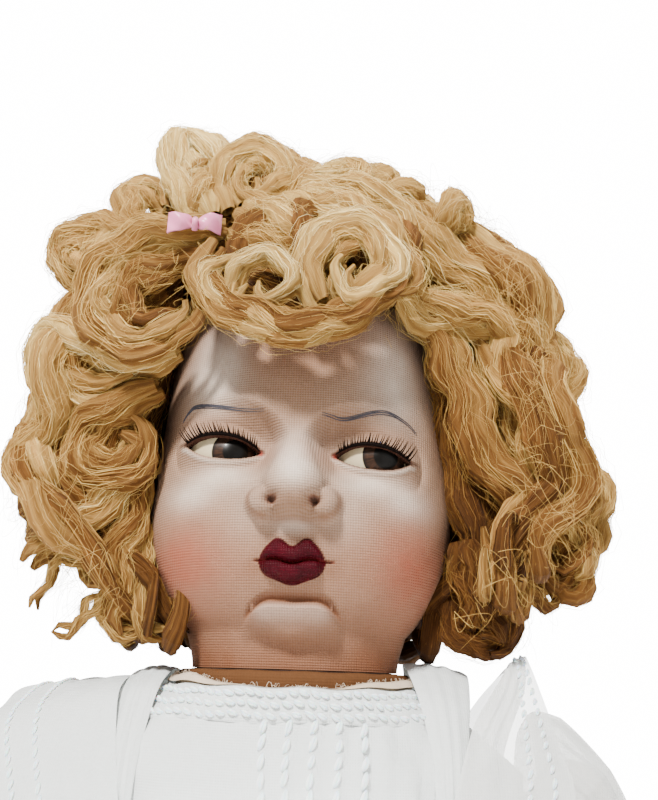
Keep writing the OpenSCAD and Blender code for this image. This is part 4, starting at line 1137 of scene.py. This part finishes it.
def make_bodice():
    s = Soup()
    P, T = np.meshgrid(np.linspace(-math.pi, math.pi, 300), np.linspace(0, 1, 110))
    # from the neckline out over the shoulders and down to the waist
    z = np.interp(T, [0, 0.06, 0.14, 0.24, 1.0],
                  [TORSO_TOP + 3.4, TORSO_TOP + 1.8, TORSO_TOP - 1, TORSO_TOP - 12, 112.0])
    w, d = cloth_section(z)
    fold = 0.55 * np.sin(P * 26 + 2 * np.sin(T * 5)) * smooth(0.05, 0.25, T) + 0.5 * np.sin(P * 9 + T * 6)
    fold = fold * smooth(0.0, 0.5, np.abs(P) / 1.2) + 0.35 * np.sin(T * 40 + P * 3) * smooth(0.5, 1, T)
    # shallow tucks under the rows of stitches
    fold += 0.55 * np.cos((w * np.sin(P) - 0.6) * 0.9) * bump(P, 0.16, 0.42) * smooth(0.12, 0.2, T)
    s.grid(np.stack([(w + fold) * np.sin(P), -(d + fold) * np.cos(P), z], -1))
    ob = s.build("bodice_cloth")
    cut_faces(ob, lambda c: abs(c.x) < 33 and c.y > 10 and c.z < 170)      # the opening for the hand
    place(ob, "body", "voile", VOILE, "dress_bodice")


def bodice_front(x, z, off=0.4):
    """Point just outside the front of the bodice at x and a height, in mm."""
    w, d = cloth_section(z)
    return np.stack([x + 0 * z, -(d + off) * np.sqrt(np.clip(1 - (x / w) ** 2, 0.02, 1)), z + 0 * x], -1)


def stitch_line(s, pts, pitch, length, r, seed=0, out=None):
    """Running stitches: short plump strands of thread along a line of points in mm, each a little askew."""
    g = np.random.default_rng(seed)
    run = np.concatenate([[0], np.cumsum(np.linalg.norm(np.diff(pts, axis=0), axis=1))])
    lift = np.sin(np.linspace(0, math.pi, 9))
    for k in range(int(run[-1] / pitch)):
        mid = (k + 0.5) * pitch + g.uniform(-0.1, 0.1) * pitch
        size = length * g.uniform(0.85, 1.1)
        u = np.linspace(mid - size / 2, mid + size / 2, 9)
        p = np.stack([np.interp(u, run, pts[:, j]) for j in range(3)], -1)
        along = p[-1] - p[0]
        away = p[4] * np.array([1, 1, 0]) if out is None else np.asarray(out, float)
        away = away / (np.linalg.norm(away) + 1e-9)
        side = np.cross(along, away)
        side /= np.linalg.norm(side) + 1e-9
        p = p + away * (0.5 * lift)[:, None] + side * (g.uniform(0.45, 0.85) * np.linspace(-1, 1, 9))[:, None]
        for strand in (-1, 1):
            s.tube(p + side * strand * r * 0.34 * lift[:, None], r * 0.64 * (0.25 + 0.75 * lift ** 0.7), 7)


def make_stitches():
    s = Soup()
    for i, x in enumerate((-6.2, 0.6, 7.6, 14.8, 22.2)):
        z = np.linspace(TORSO_TOP - 3.5, 128, 90)
        stitch_line(s, bodice_front(x + 0.35 * np.sin(z * 0.22 + i), z), 4.6, 4.5, 1.05, i)
    for k, (z, off) in enumerate(((TORSO_TOP + 3.3, 0.9), (TORSO_TOP + 0.4, 1.0), (TORSO_TOP - 2.6, 1.0))):
        phi = np.linspace(-2.7, 2.7, 300)
        w, d = cloth_section(z)
        pts = np.stack([(w + off) * np.sin(phi), -(d + off) * np.cos(phi), z + 0.35 * np.sin(phi * 17)], -1)
        stitch_line(s, pts, 3.2 + 0.25 * k, 3.3, 0.88, 20 + k)
    place(s.build("running_stitches"), "body", "voile", STITCH)


def turned(profile, phi, wobble=0.0):
    """Rings around the neck from (radius, height) pairs, either of which may vary around the ring."""
    rows = []
    for r, z in profile:
        r = r + wobble * (0.5 * np.sin(phi * 31) + 0.6 * np.sin(phi * 7 + 1))
        rows.append(np.stack([r * np.sin(phi), -r * np.cos(phi), z + wobble * 0.8 * np.sin(phi * 13) + 0 * phi], -1))
    return np.array(rows)


def make_collar():
    T = TORSO_TOP

    def profile(*points):
        """A smooth outline through (radius, height over the torso) points."""
        return spline([(r, T + h, 0) for r, h in points], 24)[:, :2]

    phi = np.linspace(-math.pi, math.pi, 300, endpoint=False)
    s = Soup()
    rows = list(turned([(40.2, T + 1.0), (39.9, T + 3.6), (40.3, T + 4.6), (41.2, T + 5.0), (42.4, T + 4.5)],
                       phi, 0.35))
    for z, off in ((T + 3.2, 0.35), (T + 1.2, 0.5), (T - 1.5, 0.5), (T - 4.2, 0.5), (T - 4.8, 0.0)):
        w, d = cloth_section(z)
        off = off + 0.15 * np.sin(phi * 41)
        rows.append(np.stack([(w + off) * np.sin(phi), -(d + off) * np.cos(phi), z + 0.25 * np.sin(phi * 9)], -1))
    s.grid(np.array(rows), close_u=True)
    place(s.build("collar_cloth"), "body", "voile", VOILE, "collar_band")

    # the cream tape inside the neckline stands up at the sides
    h = smooth(0.25, 0.95, np.abs(phi)) * (1 + 0.12 * np.sin(phi * 5))
    s = Soup()
    s.grid(turned([(38.9, T + 1), (39.0, T + 4 + 2.6 * h), (39.6, T + 5 + 3.0 * h), (40.6, T + 4.9 + 2.5 * h),
                   (41.9, T + 4.9 + 0.9 * h)], phi, 0.3), close_u=True)
    place(s.build("neck_tape"), "body", "body_cloth", TAPE)
    s = Soup()
    for i in range(360):
        a = rng.uniform(-math.pi, math.pi)
        high = float(np.interp(a, phi, h))
        tt = np.linspace(0, 1, 6)
        r = 39.3 + rng.uniform(-0.5, 1.2) + rng.uniform(-1.3, 1.0) * tt
        aa = a + rng.uniform(-0.05, 0.05) * tt
        up = T + 4.6 + 2.7 * high + rng.uniform(0.3, 1.8) * np.sin(tt * 2.4)
        s.tube(np.stack([r * np.sin(aa), -r * np.cos(aa), up], -1), rng.uniform(0.07, 0.15) * (1 - 0.6 * tt), 3)
    place(s.build("frayed_edge"), "body", "body_cloth", TAPE)

    # the tan cloth that the neck stands on
    s = Soup()
    s.grid(turned(profile((38.5, 0.8), (38.6, 5.6), (38.1, 8.7), (36.0, 9.5), (31.5, 8.8), (22.0, 3.6)), phi, 0.12),
           close_u=True)
    stub = place(s.build("neck_stub"), "body", "body_cloth", BODY_CLOTH, "neck_cloth")
    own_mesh(stub)
    # a wide pad of dark felt under the head, in place of a bare gap; its dark brown stands in for the shade in that
    # gap
    s = Soup()
    pad_side = profile((17.5, 4.3), (31.0, 6.0), (33.2, 7.5), (33.6, 9.2), (33.0, 9.8), (17.5, 9.8))
    s.grid(turned(list(pad_side) + [pad_side[0]], phi, 0.1), close_u=True)
    pad = place(s.build("felt_pad"), "body", "felt", FELT, "neck_washer")
    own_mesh(pad)


def make_spring():
    """The return spring of the jaw rod."""
    lo, hi = (np.array(v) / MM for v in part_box("jaw_spring"))
    u = np.linspace(0, 1, 40 * 7)
    turns = np.interp(u, [0, 0.1, 0.9, 1], [0, 0.9, 6.1, 7])          # a closed turn at either end
    r, x, y = (hi[0] - lo[0]) / 2 - 0.4, (hi[0] + lo[0]) / 2, (hi[1] + lo[1]) / 2
    height = lo[2] + 0.35 + (hi[2] - lo[2] - 0.7) * np.interp(u, [0, 0.1, 0.9, 1], [0, 0.04, 0.96, 1])
    s = Soup()
    s.tube(np.stack([x + r * np.cos(2 * math.pi * turns), y + r * np.sin(2 * math.pi * turns), height], -1), 0.34, 10)
    spring = place(s.build("coil_spring"), "head", "steel_wire", STEEL, "jaw_spring")
    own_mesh(spring)


def ruled(inner, outer, n, m, puff=0.0, waves=0.0, depth=0.0, sgn=1):
    """Cloth between two edges. It puffs up in the middle and flutes towards the outer edge."""
    a, b = spline(inner, n), spline(outer, n)
    v = np.linspace(0, 1, m)[:, None]
    t = np.linspace(0, 1, n)[None, :]
    g = a[None] * (1 - v[..., None]) + b[None] * v[..., None]
    side, tang = b - a, np.gradient(a, axis=0)
    up = np.cross(side, tang)
    up /= np.linalg.norm(up, axis=1)[:, None] + 1e-9
    rise = puff * np.sin(math.pi * v) ** 0.7 * np.sin(math.pi * np.clip(t * 1.02, 0, 1)) ** 0.3
    rise = rise + depth * v ** 1.2 * np.sin(2 * math.pi * waves * t + 1.4 * np.sin(5 * t) + 0.8 * v)
    rise = rise + 0.30 * np.sin(23 * v + 9 * t) * np.sin(math.pi * v)
    g = g + up[None] * rise[..., None]
    g[..., 0] *= sgn
    return g if sgn > 0 else g[:, ::-1]


def make_straps():
    T = TORSO_TOP
    inner = [(34, -46, 118), (43, -43, 165), (47, -40.5, 182), (50, -35, 196), (52, -26, 207), (52, -6, 211),
             (52, 14, 207), (49, 32, 190), (43, 42, 165), (34, 47, 118)]
    leaf = [(34, -46, 118), (43, -44, 165), (48, -42, 182), (54, -35, 199), (60, -26, 207), (67, -14, 215),
            (62, 10, 206), (54, 32, 189), (45, 42, 165), (34, 47, 118)]
    # the left ruffle stands up like a leaf, the right one lies out over the sleeve
    edges = {
        1: (leaf, [(42, -54, 118), (77, -43, 165), (82, -37, 182), (80, -32, 195), (77, -22, 208), (75, -9, 221),
                   (80, 20, 209), (77, 38, 190), (70, 47, 165), (42, 54, 118)]),
        -1: (inner, [(42, -54, 118), (75, -46, 165), (83, -41, 181), (89, -33, 192), (91, -18, 200), (91, -4, 205),
                     (89, 18, 203), (80, 38, 187), (70, 47, 165), (42, 54, 118)]),
    }
    halves = {1: (3.4, 3.6, 4.2, 6.2, 8.5, 10.5, 8.5, 5.5, 3.5), -1: (3.4, 3.6, 4.2, 5.4, 6.4, 6.8, 6.4, 5, 3.5)}
    for sgn, side in ((1, "left"), (-1, "right")):
        top = 215.5 if sgn > 0 else 212.5
        mid = np.array([(43, -42, 118), (46, -40.5, 160), (46.5, -38.5, 182), (46.5, -32, 197), (46, -22, 208),
                        (45.5, 0, top), (46, 22, 208), (46, 38, 184), (44, 42, 118)], float)
        half = np.array(halves[sgn])
        # a strap is a soft fold of cloth
        s = Soup()
        across = np.array([1.0, 0, -0.16])
        a, b = mid - across * (half * 0.9)[:, None], mid + across * (half * 1.1)[:, None]
        s.grid(ruled(a, b, 200, 26, 1.7, 3.2, 0.9, sgn=sgn))
        ob = place(s.build("strap_" + side), "body", "voile", VOILE, "bretelle_" + side)
        s = Soup()
        g = ruled(*edges[sgn], 260, 34, 1.0, 4.3 if sgn > 0 else 5, 1.0, sgn)
        s.grid(g)
        ob = place(s.build("ruffle_" + side), "body", "voile", SHEER if sgn > 0 else VOILE)
        s = Soup()
        for k, v in enumerate((20, 27)):
            stitch_line(s, g[v][6:-6], 3.6, 3.1, 0.72, 40 + k, (0.3 * sgn, -0.8, 0.5))
        place(s.build("ruffle_stitches_" + side), "body", "voile", STITCH)


def make_sleeves():
    for sgn, side in ((1, "left"), (-1, "right")):
        s = Soup()
        P, V = np.meshgrid(np.linspace(0, 2 * math.pi, 260, endpoint=False), np.linspace(0, 1, 90))
        # the axis runs from the shoulder seam out and down the arm
        a0, a1 = np.array([75.5, 0.0, 180.0]), np.array([92.0, -9.0, 156.0])
        r = np.interp(V, [0, 0.06, 0.25, 0.55, 0.85, 0.95, 1.0], [19, 24.2, 27.0, 25.6, 18.5, 14.2, 16.4])
        r = r - (1.5 if sgn < 0 else 0)
        pleat = np.sin(P * 17 + 1.5 * np.sin(P * 3) + 2.2 * V) * (1.3 * np.sin(math.pi * V) ** 0.5 + 0.4)
        pleat = pleat + 0.9 * np.sin(P * 5 + V * 8) + 0.35 * np.sin(P * 41 + 6 * np.sin(P * 2) + 4 * V)
        r = r + 0.8 * pleat * smooth(0, 0.12, V)
        # the seam stands upright at the body, and the cuff lies square to the arm
        nd = np.array([1.0, 0, 0]) * (1 - V[..., None]) + np.array([0.22, -0.40, -0.89]) * V[..., None]
        nd /= np.linalg.norm(nd, axis=-1, keepdims=True)
        e1 = np.cross(nd, [0.0, 1.0, 0.0])
        e1 /= np.linalg.norm(e1, axis=-1, keepdims=True)
        e2 = np.cross(nd, e1)
        pts = a0 + (a1 - a0) * V[..., None] + e1 * (r * np.cos(P))[..., None] + e2 * (r * np.sin(P))[..., None]
        pts[..., 0] = np.maximum(pts[..., 0], 75.4) * sgn
        s.grid(pts if sgn > 0 else pts[:, ::-1], close_u=True)
        ob = place(s.build("puff_sleeve_" + side), side + "_arm", "voile", SHEER, "sleeve_" + side)


def make_skirt():
    s = Soup()
    phi = np.linspace(-math.pi, math.pi, 420, endpoint=False)
    P, T = np.meshgrid(phi, np.linspace(0, 1, 80))
    low = 6.5 + 60.5 * smooth(0.52, 0.80, np.cos(P))      # the hem lies over the thighs in front
    z = 112.5 + (low - 112.5) * T
    hw = np.interp(T, [0, 0.12, 0.42, 1.0], [72.5, 79, 98, 105])
    hd = np.interp(T, [0, 0.12, 0.42, 1.0], [47.5, 58, 92, 97])
    cy = np.interp(T, [0, 0.42, 1.0], [0, -15, -13])
    pleat = np.sin(P * 38 + 1.2 * np.sin(P * 5)) * (0.35 + 1.5 * T) + 0.9 * np.sin(P * 11 + T * 3) * T
    x, y = (hw + pleat) * np.sin(P), cy - (hd + pleat) * np.cos(P)
    s.grid(np.stack([x, y, z], -1), close_u=True)
    ob = place(s.build("skirt_cloth"), "body", "voile", VOILE, "dress_skirt")
    hem = Soup()
    for up, out in ((9, 1.004), (13, 1.004)):
        line = np.stack([x[-1] * out, y[-1] * out, z[-1] + up], -1)
        stitch_line(hem, np.vstack([line, line[:1]]), 6.0, 4.6, 0.8, 60 + up)
    place(hem.build("skirt_hem_stitches"), "body", "voile", STITCH)
    band = Soup()
    rows = [np.stack([r * np.sin(phi), -q * np.cos(phi), h + 0.3 * np.sin(phi * 9)], -1) for r, q, h in
            ((75.2, 49.6, 116.4), (76.4, 50.8, 115.6), (76.9, 51.3, 113.0), (76.4, 50.8, 110.6), (75.0, 49.6, 109.8))]
    band.grid(np.array(rows), close_u=True)
    place(band.build("waistband"), "body", "voile", VOILE)


# ------------------------------------------------------------------ limbs and their clothes

def leg_point(sgn, r, phi, z):
    """Point around a leg, at a distance z in mm from the hip's axis."""
    x, up = r * np.cos(phi), r * np.sin(phi)
    tip = math.radians(2.6)
    p = np.stack([36 + x, -22 - up * math.sin(tip) - z * math.cos(tip),
                  26 + up * math.cos(tip) - z * math.sin(tip)], -1)
    p[..., 2] = np.maximum(p[..., 2], 0.6)
    p[..., 0] *= sgn
    return p


def leg_radius(z):
    return np.interp(z, [0, 4, 94.3, 118.9, 194.7, 205], [23, 22.7, 19, 19.5, 12.5, 12.5])


def make_leg_clothes():
    for sgn, side in ((1, "left"), (-1, "right")):
        body = side + "_leg"
        phi = np.linspace(0, 2 * math.pi, 300, endpoint=False)[::-sgn]
        # drawers with a frill below the gathering thread
        P, V = np.meshgrid(phi, np.linspace(0, 1, 70))
        z = 5 + 60 * V
        ease = np.interp(V, [0, 0.08, 0.3, 0.6, 0.80, 0.86, 1.0], [0.5, 1.0, 1.9, 2.1, 1.3, 0.7, 3.2])
        gather = np.sin(P * 29 + 1.5 * np.sin(P * 4) + V) \
            * np.interp(V, [0, 0.2, 0.6, 0.84, 1.0], [0.1, 0.3, 0.5, 0.25, 1.0])
        s = Soup()
        s.grid(leg_point(sgn, leg_radius(z) + ease + np.maximum(gather, -0.6 * ease), P, z), close_u=True)
        ob = place(s.build("drawers_" + side), body, "voile", VOILE, "bloomer_" + side)
        # a ribbed knitted sock, turned down at its top
        P, V = np.meshgrid(phi, np.linspace(0, 1, 140))
        z = np.interp(V, [0, 0.10, 0.12, 1.0], [157, 147.4, 147.8, 204.6])
        ease = np.interp(V, [0, 0.02, 0.09, 0.12, 0.16, 1.0], [1.0, 2.1, 2.1, 1.2, 0.7, 0.7])
        rib = 0.28 * np.cos(P * 44) + 0.5 * np.sin(z * 0.42 + 2 * np.cos(P)) ** 6 * smooth(0.45, 0.8, V)
        s = Soup()
        s.grid(leg_point(sgn, leg_radius(z) + ease + rib, P, z), close_u=True)
        ob = place(s.build("ribbed_sock_" + side), body, "stocking", STOCKING, "sock_" + side)


# ------------------------------------------------------------------ finishing of carried-over parts

def paint_nodes():
    """Gives the CAD nodes that still show the materials of their slots."""
    by_slot = {
        "body_shell": CARD, "pale_wood": WOOD, "grip_wood": GRIP_WOOD, "steel_wire": STEEL, "brass_plate": BRASS,
        "felt": FELT, "limb_composition": LIMB, "kid_leather": LEATHER, "stocking": STOCKING, "pearl": PEARL,
        "wig_net": NET, "voile": VOILE,
    }
    own = {"head_stick": STICK_WOOD}
    for part in frame["record"]["subparts"]:
        node, slot = part["node"], part["material_slot"]
        mat = own.get(node, by_slot.get(slot))
        ob = frame["nodes"][node]
        if mat is not None and not ob.hide_render:
            ob.data.materials.clear()
            ob.data.materials.append(mat)


# ------------------------------------------------------------------ stage

def make_stage():
    s = Soup()
    half, low = 950.0, -0.3
    s.grid(np.array([[[-half, -half, low], [half, -half, low]], [[-half, half, low], [half, half, low]]]))
    floor = s.build("pale_floor")
    floor.data.materials.append(Nodes("pale_floor", (0.92, 0.91, 0.90), 0.7).m)
    world = bpy.data.worlds.new("studio")
    bpy.context.scene.world = world
    world.use_nodes = True
    tree = world.node_tree
    light = tree.nodes["Background"]
    light.inputs["Color"].default_value = (1.0, 0.985, 0.97, 1)
    light.inputs["Strength"].default_value = 0.85
    # the wall behind is seen much brighter than it lights the piece, as over-exposed paper is
    wall = tree.nodes.new("ShaderNodeBackground")
    wall.inputs["Color"].default_value = (1.0, 0.995, 0.985, 1)
    wall.inputs["Strength"].default_value = 16.0
    path = tree.nodes.new("ShaderNodeLightPath")
    pick = tree.nodes.new("ShaderNodeMixShader")
    tree.links.new(path.outputs["Is Camera Ray"], pick.inputs[0])
    tree.links.new(light.outputs[0], pick.inputs[1])
    tree.links.new(wall.outputs[0], pick.inputs[2])
    tree.links.new(pick.outputs[0], tree.nodes["World Output"].inputs["Surface"])

    def area(name, pos, target, size, power, color=(1, 1, 1)):
        light = bpy.data.lights.new(name, "AREA")
        light.shape = "DISK"
        light.size = size
        light.energy = power
        light.color = color
        ob = bpy.data.objects.new(name, light)
        bpy.context.collection.objects.link(ob)
        ob.location = Vector(pos)
        ob.rotation_euler = (Vector(target) - Vector(pos)).to_track_quat("-Z", "Y").to_euler()
        return ob

    aim = (0, 0, 0.27)
    area("key", (-0.20, -0.74, 0.90), aim, 0.14, 31, (1.0, 0.97, 0.93))
    area("fill", (0.8, -0.8, 0.30), aim, 0.9, 2.4, (0.96, 0.98, 1.0))
    area("back", (0.15, 0.7, 1.0), aim, 0.5, 18, (1.0, 0.98, 0.94))
    area("low", (0.0, -0.45, 0.04), (0, -0.05, 0.085), 0.09, 0.50).data.spread = math.radians(22)


def make_camera():
    cam = bpy.data.cameras.new("camera")
    cam.sensor_width = 36.0
    cam.lens = 40.2
    cam.clip_start = 0.01
    ob = bpy.data.objects.new("camera", cam)
    bpy.context.collection.objects.link(ob)
    m = (Matrix.Rotation(math.radians(1.0), 4, "Z") @ Matrix.Rotation(math.radians(90 + 17.4), 4, "X")
         @ Matrix.Rotation(math.radians(1.8), 4, "Z"))
    ob.matrix_world = Matrix.Translation((0.014, -0.312, (NECK - 2.7) * MM)) @ m
    bpy.context.scene.camera = ob


make_camera()
make_stage()
make_head()
make_jaw()
make_brows()
make_lashes()
make_eyes()
make_hair()
make_ribbon()
make_bodice()
make_stitches()
make_collar()
make_straps()
make_sleeves()
make_skirt()
make_leg_clothes()
make_spring()
paint_nodes()
